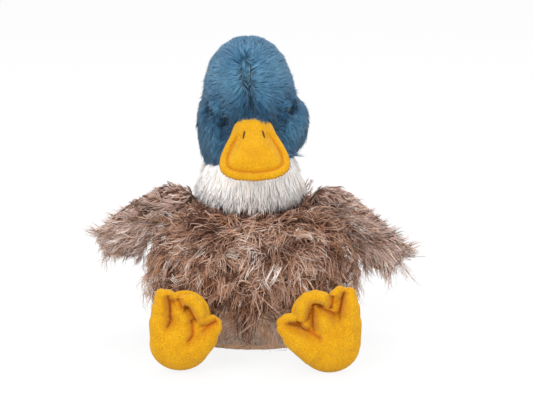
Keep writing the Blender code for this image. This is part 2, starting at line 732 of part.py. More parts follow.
def place_pivots(bench):
    """Put an empty on every joint, each under the one that carries it."""
    bench.pivot("neck_turn_pivot", NECK_CENTRE)
    bench.pivot("neck_tilt_pivot", NECK_CENTRE, "neck_turn_pivot")
    bench.pivot("head_nod_pivot", NECK_CENTRE, "neck_tilt_pivot")
    bench.pivot("tail_pivot", tail_joint())
    for side in SIDES:
        bench.pivot("wing_pivot_" + side, wing_joint(side))
        bench.pivot("hip_pivot_" + side, hip_joint(side))
        bench.pivot("ankle_pivot_" + side, ankle_joint(side), "hip_pivot_" + side)


def main():
    """Build the duck from the body outward."""
    clear_scene()
    bench = Bench()
    place_pivots(bench)
    build_body(bench)
    build_neck(bench)
    build_head(bench)
    build_eyes(bench)
    build_bill(bench)
    build_wings(bench)
    build_tail(bench)
    build_legs(bench)
    build_feet(bench)


if __name__ == "__main__":
    main()
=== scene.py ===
"""The looks of a seated plush duck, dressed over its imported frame.

Metres, +Z up. The duck looks along -Y, and left and right are its own. Each soft piece is a skin
worked out from the frame's own solids, and a pile of real strands grows from it. The bill and the
feet are bare velour, sculpted from lobes.
"""

from __future__ import annotations

import json
import logging
import math
from collections.abc import Callable, Iterable
from dataclasses import dataclass, field
from enum import Enum

import bmesh
import bpy
import numpy as np
from mathutils import Matrix, Vector
from mathutils.bvhtree import BVHTree
from mathutils.kdtree import KDTree


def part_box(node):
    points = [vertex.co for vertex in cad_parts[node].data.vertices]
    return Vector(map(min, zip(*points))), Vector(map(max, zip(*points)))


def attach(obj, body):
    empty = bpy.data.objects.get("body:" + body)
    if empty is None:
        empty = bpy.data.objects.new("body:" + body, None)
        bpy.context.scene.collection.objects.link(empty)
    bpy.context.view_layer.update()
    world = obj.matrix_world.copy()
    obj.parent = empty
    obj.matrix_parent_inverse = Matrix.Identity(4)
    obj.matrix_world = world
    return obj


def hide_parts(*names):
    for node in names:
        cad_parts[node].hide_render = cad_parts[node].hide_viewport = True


LOG = logging.getLogger("duck")

UP = Vector((0, 0, 1))
DOWN = -UP
STRAND_MAP = "strand"
BAKE_MAP = "OFBake"
# The share of painted shade in a velour's creases and grooves, kept on its vertices.
CREASE_SHADE_LAYER = "crease"
FLOOR_CLEARANCE = 0.0004
FAR = 0.5                           # a distance well outside the duck

Array = np.ndarray
Field = Callable[[Array, Array], Array]


def default_vector(x: float, y: float, z: float) -> Vector:
    """Give a dataclass's field a vector of its own as default."""
    return field(default_factory=lambda: Vector((x, y, z)))


class Side(Enum):
    """One side of the duck, as the duck names it."""

    LEFT = "left"
    RIGHT = "right"

    @property
    def sign(self) -> int:
        """The sign of X on this side."""
        return 1 if self is Side.LEFT else -1


def unit(vectors: Array) -> Array:
    """Scale rows of vectors to length one."""
    return vectors / np.maximum(np.linalg.norm(vectors, axis=-1, keepdims=True), 1e-12)


def along_surface(directions: Array, normals: Array) -> Array:
    """Flatten directions onto a surface.

    Args:
        directions: One row for each point, of any length.
        normals: The surface's unit normals at those points.

    Returns:
        Unit vectors that lie in the surface.
    """
    flat = directions - normals * np.sum(directions * normals, axis=-1, keepdims=True)
    return unit(flat)


def gap_to(points: Array, place: Vector) -> Array:
    """How far points lie from a place."""
    return np.linalg.norm(points - np.array(place), axis=1)


def smooth_step(values: Array, low: float, high: float) -> Array:
    """Ease values from 0 at low to 1 at high."""
    share = np.clip((values - low) / (high - low), 0, 1)
    return share * share * (3 - 2 * share)


def screen(rgb: tuple[int, int, int]) -> tuple[float, float, float, float]:
    """Turn an 8-bit screen colour into the scene's linear one.

    Args:
        rgb: Red, green and blue from 0 to 255.

    Returns:
        Linear red, green, blue and an alpha of one.
    """
    shares = [value / 255 for value in rgb]
    linear = [c / 12.92 if c <= 0.04045 else ((c + 0.055) / 1.055) ** 2.4 for c in shares]
    return (*linear, 1.0)


class Wander:
    """A smooth field of numbers between about -1 and 1, the same each run."""

    WAVES = 7

    def __init__(self, wavelength: float, seed: int) -> None:
        """Lay a few sine waves of about one length across each other.

        Args:
            wavelength: The usual distance between crests.
            seed: Which field to make.
        """
        rng = np.random.default_rng(seed)
        heading = unit(rng.normal(size=(self.WAVES, 3)))
        pace = 2 * math.pi / (wavelength * rng.uniform(0.6, 1.6, self.WAVES))
        self.waves = heading * pace[:, None]
        self.phases = rng.uniform(0, 2 * math.pi, self.WAVES)

    def __call__(self, points: Array) -> Array:
        """Read the field at points."""
        heights = np.sin(points @ self.waves.T + self.phases)
        return heights.sum(axis=1) / math.sqrt(self.WAVES)


# Finishes


class Desk:
    """Lays out one material's nodes."""

    def __init__(self, name: str) -> None:
        """Start a material that has its Principled shader and output."""
        self.material = bpy.data.materials.new(name)
        self.material.use_nodes = True
        self.tree = self.material.node_tree
        self.shader = self.tree.nodes["Principled BSDF"]

    def add(self, kind: str, **settings: object) -> bpy.types.Node:
        """Add a node and set its properties.

        Args:
            kind: The node's Blender type.
            **settings: Properties by name.

        Returns:
            The new node.
        """
        node = self.tree.nodes.new(kind)
        for name, value in settings.items():
            setattr(node, name, value)
        return node

    def link(self, source: bpy.types.NodeSocket, target: bpy.types.NodeSocket) -> None:
        """Join an output to an input."""
        self.tree.links.new(source, target)

    def ramp(self, factor: bpy.types.NodeSocket, tones: Iterable[Tone]) -> bpy.types.NodeSocket:
        """Add a colour ramp.

        Args:
            factor: The number that picks the colour.
            tones: The ramp's colours, in order.

        Returns:
            The ramp's colour.
        """
        node = self.add("ShaderNodeValToRGB")
        elements = node.color_ramp.elements
        tones = list(tones)
        while len(elements) < len(tones):
            elements.new(1)
        for element, tone in zip(elements, tones):
            element.position = tone.at
            element.color = screen(tone.rgb)
        self.link(factor, node.inputs["Fac"])
        return node.outputs["Color"]

    def mix(self, blend: str, share: float, first: bpy.types.NodeSocket,
            second: bpy.types.NodeSocket) -> bpy.types.NodeSocket:
        """Mix two colours.

        Args:
            blend: Blender's name of the way they mix.
            share: How much of the second counts.
            first: The colour below.
            second: The colour on top.

        Returns:
            The mixed colour.
        """
        node = self.add("ShaderNodeMix", data_type="RGBA", blend_type=blend)
        node.inputs["Factor"].default_value = share
        self.link(first, node.inputs[6])
        self.link(second, node.inputs[7])
        return node.outputs[2]

    def noise(self, scale: tuple[float, float, float], detail: float,
              roughness: float) -> bpy.types.NodeSocket:
        """Add a noise in object space.

        Args:
            scale: How many cells a metre holds along X, Y and Z.
            detail: How many finer layers it has.
            roughness: How strong the finer layers are.

        Returns:
            The noise's height.
        """
        place = self.add("ShaderNodeTexCoord")
        mapping = self.add("ShaderNodeMapping")
        mapping.inputs["Scale"].default_value = scale
        noise = self.add("ShaderNodeTexNoise")
        noise.inputs["Scale"].default_value = 1
        noise.inputs["Detail"].default_value = detail
        noise.inputs["Roughness"].default_value = roughness
        self.link(place.outputs["Object"], mapping.inputs["Vector"])
        self.link(mapping.outputs["Vector"], noise.inputs["Vector"])
        return noise.outputs["Fac"]

    def bump(self, height: bpy.types.NodeSocket, distance: float, strength: float,
             under: bpy.types.NodeSocket | None = None) -> bpy.types.NodeSocket:
        """Raise the surface by a height.

        Args:
            height: How high each spot stands, from 0 to 1.
            distance: What a height of one measures.
            strength: How much the height counts.
            under: The normals of a bump that lies under this one.

        Returns:
            The raised surface's normals, which the shader now reads.
        """
        node = self.add("ShaderNodeBump")
        node.inputs["Strength"].default_value = strength
        node.inputs["Distance"].default_value = distance
        self.link(height, node.inputs["Height"])
        if under is not None:
            self.link(under, node.inputs["Normal"])
        self.link(node.outputs["Normal"], self.shader.inputs["Normal"])
        return node.outputs["Normal"]

    def surface(self, roughness: float, sheen: float, specular: float) -> None:
        """Set the shader's plain numbers."""
        self.shader.inputs["Roughness"].default_value = roughness
        self.shader.inputs["Sheen Weight"].default_value = sheen
        self.shader.inputs["Sheen Roughness"].default_value = 0.45
        self.shader.inputs["Specular IOR Level"].default_value = specular


@dataclass(frozen=True)
class Tone:
    """A screen colour and its place along a ramp."""

    at: float
    rgb: tuple[int, int, int]


def greys(*pairs: tuple[float, int]) -> tuple[Tone, ...]:
    """Write a ramp of greys as pairs of place and level."""
    return tuple(Tone(at, (level, level, level)) for at, level in pairs)


@dataclass(frozen=True)
class PileFinish:
    """Strands whose colour varies from one to the next, and darkens toward the root as painted shade
    deep in the coat.
    """

    name: str
    tones: tuple[Tone, ...]
    depth: tuple[Tone, ...]
    roughness: float = 0.7
    sheen: float = 0.2

    def build(self) -> bpy.types.Material:
        """Make the material, which reads the strands' own map."""
        desk = Desk(self.name)
        strand = desk.add("ShaderNodeUVMap", uv_map=STRAND_MAP)
        split = desk.add("ShaderNodeSeparateXYZ")
        desk.link(strand.outputs["UV"], split.inputs["Vector"])
        tone = desk.ramp(split.outputs["X"], self.tones)
        # The depth ramp darkens each strand toward its root: painted shade deep in the coat.
        shade = desk.ramp(split.outputs["Y"], self.depth)
        colour = desk.mix("MULTIPLY", 1.0, tone, shade)
        desk.link(colour, desk.shader.inputs["Base Color"])
        desk.surface(self.roughness, self.sheen, 0.25)
        return desk.material


@dataclass(frozen=True)
class BackingFinish:
    """The knitted cloth that a pile stands on."""

    name: str
    dark: tuple[int, int, int]
    light: tuple[int, int, int]
    knit: float = 1400.0
    knit_height: float = 0.0004

    def build(self) -> bpy.types.Material:
        """Make the material."""
        desk = Desk(self.name)
        grain = desk.noise((self.knit, self.knit, self.knit), 3, 0.6)
        colour = desk.ramp(grain, (Tone(0.3, self.dark), Tone(0.75, self.light)))
        desk.link(colour, desk.shader.inputs["Base Color"])
        desk.bump(grain, self.knit_height, 0.8)
        desk.surface(0.9, 0.1, 0.1)
        return desk.material


@dataclass(frozen=True)
class VelourFinish:
    """Short brushed velour, with its nap, its grain, slightly worn patches and painted shade in its
    creases.
    """

    name: str
    base: tuple[int, int, int]
    worn: tuple[int, int, int]
    deep: tuple[int, int, int]
    crease_shade: tuple[int, int, int]
    nap: tuple[float, float, float] = (1500.0, 1500.0, 1100.0)
    grain: float = 5200.0
    patch: float = 90.0
    nap_height: float = 0.00055
    grain_height: float = 0.0001

    def build(self) -> bpy.types.Material:
        """Make the material."""
        desk = Desk(self.name)
        patches = desk.noise((self.patch, self.patch, self.patch), 2, 0.5)
        colour = desk.ramp(patches, (Tone(0.3, self.deep), Tone(0.5, self.base),
                                     Tone(0.72, self.worn)))
        nap = desk.noise(self.nap, 3, 0.65)
        streaks = desk.ramp(nap, greys((0.36, 196), (0.62, 255)))
        colour = desk.mix("MULTIPLY", 0.8, colour, streaks)
        # Painted shade: the crease layer tints the colour toward a deep orange in creases and grooves.
        drawn = desk.add("ShaderNodeAttribute", attribute_name=CREASE_SHADE_LAYER)
        fold = desk.add("ShaderNodeMix", data_type="RGBA")
        fold.inputs[7].default_value = screen(self.crease_shade)
        desk.link(drawn.outputs["Fac"], fold.inputs["Factor"])
        desk.link(colour, fold.inputs[6])
        desk.link(fold.outputs[2], desk.shader.inputs["Base Color"])
        grain = desk.noise((self.grain, self.grain, self.grain), 2, 0.5)
        fine = desk.bump(grain, self.grain_height, 0.7)
        desk.bump(nap, self.nap_height, 0.8, under=fine)
        desk.surface(0.82, 0.35, 0.15)
        desk.shader.inputs["Sheen Tint"].default_value = screen((255, 226, 150))
        return desk.material


@dataclass(frozen=True)
class PlainFinish:
    """Plastic or thread, with a slight grain."""

    name: str
    dark: tuple[int, int, int]
    light: tuple[int, int, int]
    roughness: float
    grain: float = 3000.0
    grain_height: float = 0.00002

    def build(self) -> bpy.types.Material:
        """Make the material."""
        desk = Desk(self.name)
        grain = desk.noise((self.grain, self.grain, self.grain), 2, 0.5)
        colour = desk.ramp(grain, (Tone(0.35, self.dark), Tone(0.7, self.light)))
        desk.link(colour, desk.shader.inputs["Base Color"])
        desk.bump(grain, self.grain_height, 0.3)
        desk.surface(self.roughness, 0.0, 0.5)
        return desk.material


Finish = PileFinish | BackingFinish | VelourFinish | PlainFinish

# Each pile's second ramp darkens its strands toward the root: painted shade deep in the coat.
BROWN_ROOT_SHADE = (Tone(0.0, (136, 92, 64)), Tone(0.3, (212, 184, 164)), Tone(0.65, (250, 246, 243)),
               Tone(1.0, (255, 255, 255)))
BROWN_PILE = PileFinish(
    "brown_pile",
    (Tone(0.0, (82, 49, 32)), Tone(0.12, (126, 86, 64)), Tone(0.28, (178, 135, 112)),
     Tone(0.48, (211, 174, 152)), Tone(0.66, (232, 202, 186)), Tone(0.76, (188, 124, 72)),
     Tone(0.83, (212, 162, 116)), Tone(0.89, (250, 236, 226)), Tone(1.0, (255, 250, 246))),
    BROWN_ROOT_SHADE,
    sheen=0.1,
)
WING_PILE = PileFinish(
    "wing_pile",
    (Tone(0.0, (80, 58, 48)), Tone(0.12, (120, 94, 82)), Tone(0.28, (168, 142, 130)),
     Tone(0.48, (204, 180, 170)), Tone(0.70, (226, 208, 202)), Tone(0.77, (182, 136, 96)),
     Tone(0.83, (212, 178, 146)), Tone(0.89, (246, 236, 230)), Tone(1.0, (255, 250, 248))),
    BROWN_ROOT_SHADE,
    sheen=0.1,
)
BLUE_PILE = PileFinish(
    "blue_pile",
    (Tone(0.0, (28, 74, 106)), Tone(0.3, (62, 118, 156)), Tone(0.6, (88, 148, 186)),
     Tone(0.85, (120, 176, 208)), Tone(1.0, (150, 196, 220))),
    greys((0.0, 130), (0.4, 216), (0.8, 252), (1.0, 255)),
    sheen=0.15,
)
WHITE_PILE = PileFinish(
    "white_pile",
    (Tone(0.0, (244, 226, 210)), Tone(0.3, (254, 245, 238)), Tone(0.7, (255, 251, 248)),
     Tone(1.0, (255, 255, 254))),
    greys((0.0, 250), (0.3, 255), (1.0, 255)),
    sheen=1.0,
)
CREAM_PILE = PileFinish(
    "cream_pile",
    (Tone(0.0, (210, 150, 100)), Tone(0.5, (238, 192, 150)), Tone(1.0, (255, 240, 226))),
    greys((0.0, 225), (0.5, 248), (1.0, 255)),
    sheen=0.4,
)
# The brown and blue backings are darker than their piles: painted shade deep among the roots, where it
# shows through the gaps.
BROWN_SHADE_BACKING = BackingFinish("brown_shade_backing", (66, 46, 32), (120, 88, 62))
BLUE_SHADE_BACKING = BackingFinish("blue_shade_backing", (24, 58, 84), (46, 92, 124))
WHITE_BACKING = BackingFinish("white_backing", (250, 246, 243), (255, 254, 253))
CREAM_BACKING = BackingFinish("cream_backing", (226, 180, 138), (244, 210, 180))
# Its last colour is the painted shade in the creases and grooves.
YELLOW_VELOUR = VelourFinish("yellow_velour", (213, 154, 14), (218, 161, 20), (206, 145, 10),
                             (184, 80, 2))
BLACK_EYE = PlainFinish("black_eye", (2, 2, 3), (5, 5, 6), 0.42)
CLEAR_WASHER = PlainFinish("clear_washer", (196, 198, 200), (226, 228, 230), 0.4)
BLACK_THREAD = PlainFinish("black_thread", (34, 18, 10), (60, 36, 20), 0.7, grain=9000.0)
AMBER_THREAD = PlainFinish("amber_thread", (98, 58, 8), (146, 92, 16), 0.7, grain=9000.0)


class Wardrobe:
    """Makes each finish once and hands it out."""

    def __init__(self) -> None:
        """Start empty."""
        self.made: dict[str, bpy.types.Material] = {}

    def dress(self, piece: bpy.types.Object, finish: Finish) -> None:
        """Give a piece one finish."""
        if finish.name not in self.made:
            self.made[finish.name] = finish.build()
        piece.data.materials.clear()
        piece.data.materials.append(self.made[finish.name])

    def finish(self, piece: bpy.types.Object, finish: Finish, body: str, slot: str,
               fill: float | None = None) -> None:
        """Dress a finished piece, hang it on its body and report it.

        Args:
            piece: The finished object.
            finish: What it is made of.
            body: The frame's body that it rides on.
            slot: A material of the record; not used.
            fill: How tight its stuffing is, for a stuffed piece; not used.
        """
        self.dress(piece, finish)
        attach(piece, body)
        LOG.info("%s rides on %s, %d faces", piece.name, body, len(piece.data.polygons))


# Modelling helpers


def to_object(bm: bmesh.types.BMesh, name: str, smooth: bool = True) -> bpy.types.Object:
    """Turn a bmesh into an object in the scene.

    Args:
        bm: The mesh, which is used up.
        name: The object's name.
        smooth: Whether its faces shade smooth.

    Returns:
        The object, at the origin.
    """
    mesh = bpy.data.meshes.new(name)
    bm.to_mesh(mesh)
    bm.free()
    if smooth:
        mesh.shade_smooth()
    piece = bpy.data.objects.new(name, mesh)
    bpy.context.scene.collection.objects.link(piece)
    return piece


def bake_modifiers(piece: bpy.types.Object) -> None:
    """Apply a piece's modifiers to its mesh."""
    graph = bpy.context.evaluated_depsgraph_get()
    finished = bpy.data.meshes.new_from_object(piece.evaluated_get(graph))
    spent = piece.data
    finished.name = piece.name
    piece.modifiers.clear()
    piece.data = finished
    bpy.data.meshes.remove(spent)


def fuse(piece: bpy.types.Object, voxel: float, passes: int) -> None:
    """Fuse a piece's overlapping solids into one and ease its surface.

    Args:
        piece: The object, whose mesh is replaced.
        voxel: The size of the new mesh's faces.
        passes: How often the surface is eased.
    """
    remesh = piece.modifiers.new("fuse", "REMESH")
    remesh.mode = "VOXEL"
    remesh.voxel_size = voxel
    bake_modifiers(piece)
    bm = bmesh.new()
    bm.from_mesh(piece.data)
    for _ in range(passes):
        bmesh.ops.smooth_vert(bm, verts=bm.verts, factor=0.5, use_axis_x=True,
                              use_axis_y=True, use_axis_z=True)
    bmesh.ops.recalc_face_normals(bm, faces=bm.faces)
    bm.to_mesh(piece.data)
    bm.free()
    piece.data.shade_smooth()


def add_ball(bm: bmesh.types.BMesh, centre: Vector, radii: Iterable[float],
             turn: Matrix | None = None, facets: int = 20) -> None:
    """Add an ellipsoid to a bmesh."""
    matrix = Matrix.Translation(centre)
    if turn is not None:
        matrix = matrix @ turn.to_4x4()
    matrix = matrix @ Matrix.Diagonal((*radii, 1))
    bmesh.ops.create_uvsphere(bm, u_segments=facets, v_segments=facets // 2, radius=1,
                              matrix=matrix)


def add_link(bm: bmesh.types.BMesh, start: Vector, start_radius: float, end: Vector,
             end_radius: float, facets: int = 16) -> None:
    """Add a tapered tube with round ends: a ball whose two halves are drawn apart."""
    turn = UP.rotation_difference(end - start).to_matrix()
    made = bmesh.ops.create_uvsphere(bm, u_segments=facets, v_segments=facets // 2, radius=1)
    for vertex in made["verts"]:
        far = vertex.co.z > 0
        spread = turn @ vertex.co
        vertex.co = end + spread * end_radius if far else start + spread * start_radius


def add_chain(bm: bmesh.types.BMesh, beads: Iterable[tuple[Vector, float]]) -> None:
    """Add a run of tapered tubes through beads of a place and a radius."""
    beads = list(beads)
    for (start, start_radius), (end, end_radius) in zip(beads, beads[1:]):
        add_link(bm, start, start_radius, end, end_radius)


def nearest_on_path(points: Array, path: Array) -> tuple[Array, Array]:
    """Find each point's nearest spot on a path.

    Args:
        points: Places, one row each.
        path: The path's corners, with as many columns.

    Returns:
        The spots, and how far along the path each lies, from 0 to 1.
    """
    best = np.full(len(points), np.inf)
    spots = np.zeros_like(points)
    shares = np.zeros(len(points))
    legs = len(path) - 1
    for index in range(legs):
        start, run = path[index], path[index + 1] - path[index]
        along = np.clip((points - start) @ run / (run @ run), 0, 1)
        spot = start + along[:, None] * run
        gap = np.linalg.norm(points - spot, axis=1)
        closer = gap < best
        best[closer] = gap[closer]
        spots[closer] = spot[closer]
        shares[closer] = (index + along[closer]) / legs
    return spots, shares


@dataclass(frozen=True)
class Crease:
    """A line along which cloth is drawn in, as its corners seen from the front."""

    path: tuple[tuple[float, float], ...]
    depth: float
    width: float
    fade: float = 0.12              # share of its length over which each end fades
    valley: float = 0.0             # depth of the wide valley that it lies in
    valley_width: float = 0.0032

    def sink(self, flat: Array) -> Array:
        """How deep the cloth lies at places seen from the front."""
        spots, shares = nearest_on_path(flat, np.array(self.path))
        gap = np.linalg.norm(flat - spots, axis=1)
        ends = smooth_step(shares, 0, self.fade) * (1 - smooth_step(shares, 1 - self.fade, 1))
        line = self.depth * np.exp(-(gap / self.width) ** 2)
        return (line + self.valley * np.exp(-(gap / self.valley_width) ** 2)) * ends

    def crease_shade_share(self, flat: Array) -> Array:
        """How much painted shade places seen from the front take from the line, from 0 to 1, by how
        near they lie.
        """
        spots, shares = nearest_on_path(flat, np.array(self.path))
        gap = np.linalg.norm(flat - spots, axis=1)
        ends = smooth_step(shares, 0, 0.3) * (1 - smooth_step(shares, 0.7, 1))
        return (0.35 * np.exp(-(gap / self.width) ** 2)
                + 0.35 * np.exp(-(gap / self.valley_width) ** 2)) * (0.4 + 0.6 * ends)


class Skin:
    """A soft piece's closed surface, with what a pile needs to grow from it."""

    def __init__(self, piece: bpy.types.Object) -> None:
        """Keep the object."""
        self.piece = piece

    @property
    def points(self) -> Array:
        """Every vertex's place."""
        flat = np.empty(len(self.piece.data.vertices) * 3)
        self.piece.data.vertices.foreach_get("co", flat)
        return flat.reshape(-1, 3)

    @property
    def normals(self) -> Array:
        """Every vertex's unit normal."""
        flat = np.empty(len(self.piece.data.vertices) * 3)
        self.piece.data.vertices.foreach_get("normal", flat)
        return flat.reshape(-1, 3)

    def move(self, places: Array) -> None:
        """Put every vertex in a new place."""
        self.piece.data.vertices.foreach_set("co", places.astype(np.float32).ravel())
        self.piece.data.update()

    def draw_in(self, depth: float | Array) -> None:
        """Sink the surface by a depth, the same everywhere or one for each vertex."""
        self.move(self.points - self.normals * np.reshape(depth, (-1, 1)))

    def scale(self, centre: Vector, share: float) -> None:
        """Scale the surface about a centre."""
        self.move(np.array(centre) + (self.points - np.array(centre)) * share)

    def mark_crease_shade(self, depths: Array) -> None:
        """Keep how much painted shade each vertex takes in a crease, from 0 to 1, for its finish."""
        layer = self.piece.data.attributes.new(CREASE_SHADE_LAYER, "FLOAT", "POINT")
        layer.data.foreach_set("value", np.clip(depths, 0, 1).astype(np.float32))

    def tree(self) -> BVHTree:
        """Give a tree of the surface for nearest-point questions."""
        bm = bmesh.new()
        bm.from_mesh(self.piece.data)
        tree = BVHTree.FromBMesh(bm)
        bm.free()
        return tree

    def scatter(self, count: int, density: Field, rng: np.random.Generator) -> tuple[Array, Array]:
        """Choose places on the surface at random.

        Args:
            count: How many places.
            density: How thickly each spot is covered, from 0 to 1.
            rng: The source of chance.

        Returns:
            The places, and the surface's normals there.
        """
        mesh = self.piece.data
        mesh.calc_loop_triangles()
        corners = np.empty(len(mesh.loop_triangles) * 3, np.int32)
        mesh.loop_triangles.foreach_get("vertices", corners)
        corners = corners.reshape(-1, 3)
        points, normals = self.points, self.normals
        a, b, c = (points[corners[:, k]] for k in range(3))
        area = np.linalg.norm(np.cross(b - a, c - a), axis=1) / 2
        middle = (a + b + c) / 3
        facing = unit(normals[corners].sum(axis=1))
        weight = area * density(middle, facing)
        chosen = rng.choice(len(corners), size=count, p=weight / weight.sum())
        first, second = rng.random(count), rng.random(count)
        over = first + second > 1
        first[over], second[over] = 1 - first[over], 1 - second[over]
        shares = np.stack([1 - first - second, first, second], axis=1)[..., None]
        picked = corners[chosen]
        return (points[picked] * shares).sum(axis=1), unit((normals[picked] * shares).sum(axis=1))


def skin_from_frame(name: str, nodes: Iterable[str], detail: int, passes: int,
                    closing: Iterable[str] = ()) -> Skin:
    """Wrap one closed skin round the frame's own solids.

    Args:
        name: The new piece's name.
        nodes: The frame's nodes that the piece stands for, covers and fillings together.
        detail: How often the ball that becomes the skin is subdivided.
        passes: How often the surface is eased.
        closing: Other nodes that close the mouths of these.

    Returns:
        The skin, which replaces the nodes.
    """
    nodes = list(nodes)
    bm = bmesh.new()
    for node in (*nodes, *closing):
        bm.from_mesh(FRAME["nodes"][node].data)
    tree = BVHTree.FromBMesh(bm)
    bm.free()
    corners = [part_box(node) for node in nodes]
    low = Vector(min(box[0][axis] for box in corners) for axis in range(3))
    high = Vector(max(box[1][axis] for box in corners) for axis in range(3))
    centre = (low + high) / 2
    bm = bmesh.new()
    bmesh.ops.create_icosphere(bm, subdivisions=detail, radius=FAR,
                               matrix=Matrix.Translation(centre))
    for vertex in bm.verts:
        spot = tree.ray_cast(vertex.co, centre - vertex.co)[0]
        vertex.co = centre if spot is None else spot
    for _ in range(passes):
        bmesh.ops.smooth_vert(bm, verts=bm.verts, factor=0.5, use_axis_x=True,
                              use_axis_y=True, use_axis_z=True)
    piece = to_object(bm, name)
    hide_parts(*nodes)
    return Skin(piece)


def joint_place(name: str) -> Vector:
    """Give the centre of one of the frame's joints."""
    found = next(joint for joint in FRAME["joints"] if joint["name"] == name)
    return Vector(found["pos_m"])


# Piles


class StrandPattern:
    """The one strand that every pile repeats: a closed three-sided taper."""

    def __init__(self, stations: tuple[float, ...]) -> None:
        """Model the strand, with a ring at each station from 0 at the root.

        Args:
            stations: Places of the rings as shares of the length, the first of them 0.
        """
        bm = bmesh.new()
        bmesh.ops.create_cone(bm, cap_ends=True, segments=3, radius1=1, radius2=0, depth=1,
                              matrix=Matrix.Translation((0, 0, 0.5)))
        for station in stations[1:]:
            bmesh.ops.bisect_plane(bm, geom=bm.verts[:] + bm.edges[:] + bm.faces[:],
                                   plane_co=(0, 0, station), plane_no=(0, 0, 1), dist=1e-6)
        bmesh.ops.remove_doubles(bm, verts=bm.verts, dist=1e-5)
        bm.verts.index_update()
        co = np.array([vertex.co[:] for vertex in bm.verts])
        self.rings = np.append(np.array(stations), 1.0)
        self.ring_of = np.abs(co[:, 2:3] - self.rings[None, :]).argmin(axis=1)
        self.around = np.where(self.ring_of[:, None] == len(stations), 0, unit(co[:, :2]))
        self.spin = np.where(self.ring_of == len(stations), 0,
                             np.arctan2(co[:, 1], co[:, 0]) / math.pi)
        self.face_sizes = np.array([len(face.verts) for face in bm.faces])
        self.corners = np.array([v.index for face in bm.faces for v in face.verts])
        bm.free()


@dataclass(frozen=True)
class PileCut:
    """How one pile is cut and how it lies."""

    length: float
    radius: float
    count: int
    clumps: int
    lift: float = 45.0              # degrees between a strand's root and the cloth
    droop: float = 0.3              # how much a strand turns downward over its length
    lay: float = 0.5                # how much it turns back toward the cloth
    stand: float = 0.1              # least height over the cloth at the tip, as a share
    stray: float = 20.0             # degrees that a clump leaves the flow by
    own_stray: float = 0.06         # how far one strand leaves its clump, as a share
    pull: float = 0.7               # how much a clump closes at its tip
    curl: float = 0.05              # radius of a clump's wave, as a share
    turns: float = 1.0
    spread: float = 0.25            # how much lengths differ
    taper: float = 0.7
    closing: float = 1.2            # how late along its length a clump closes
    clump_shade: float = 0.16       # how far clumps differ in tone
    own_shade: float = 0.1          # how far strands of one clump differ
    stations: tuple[float, ...] = (0, 0.2, 0.42, 0.66, 0.86)


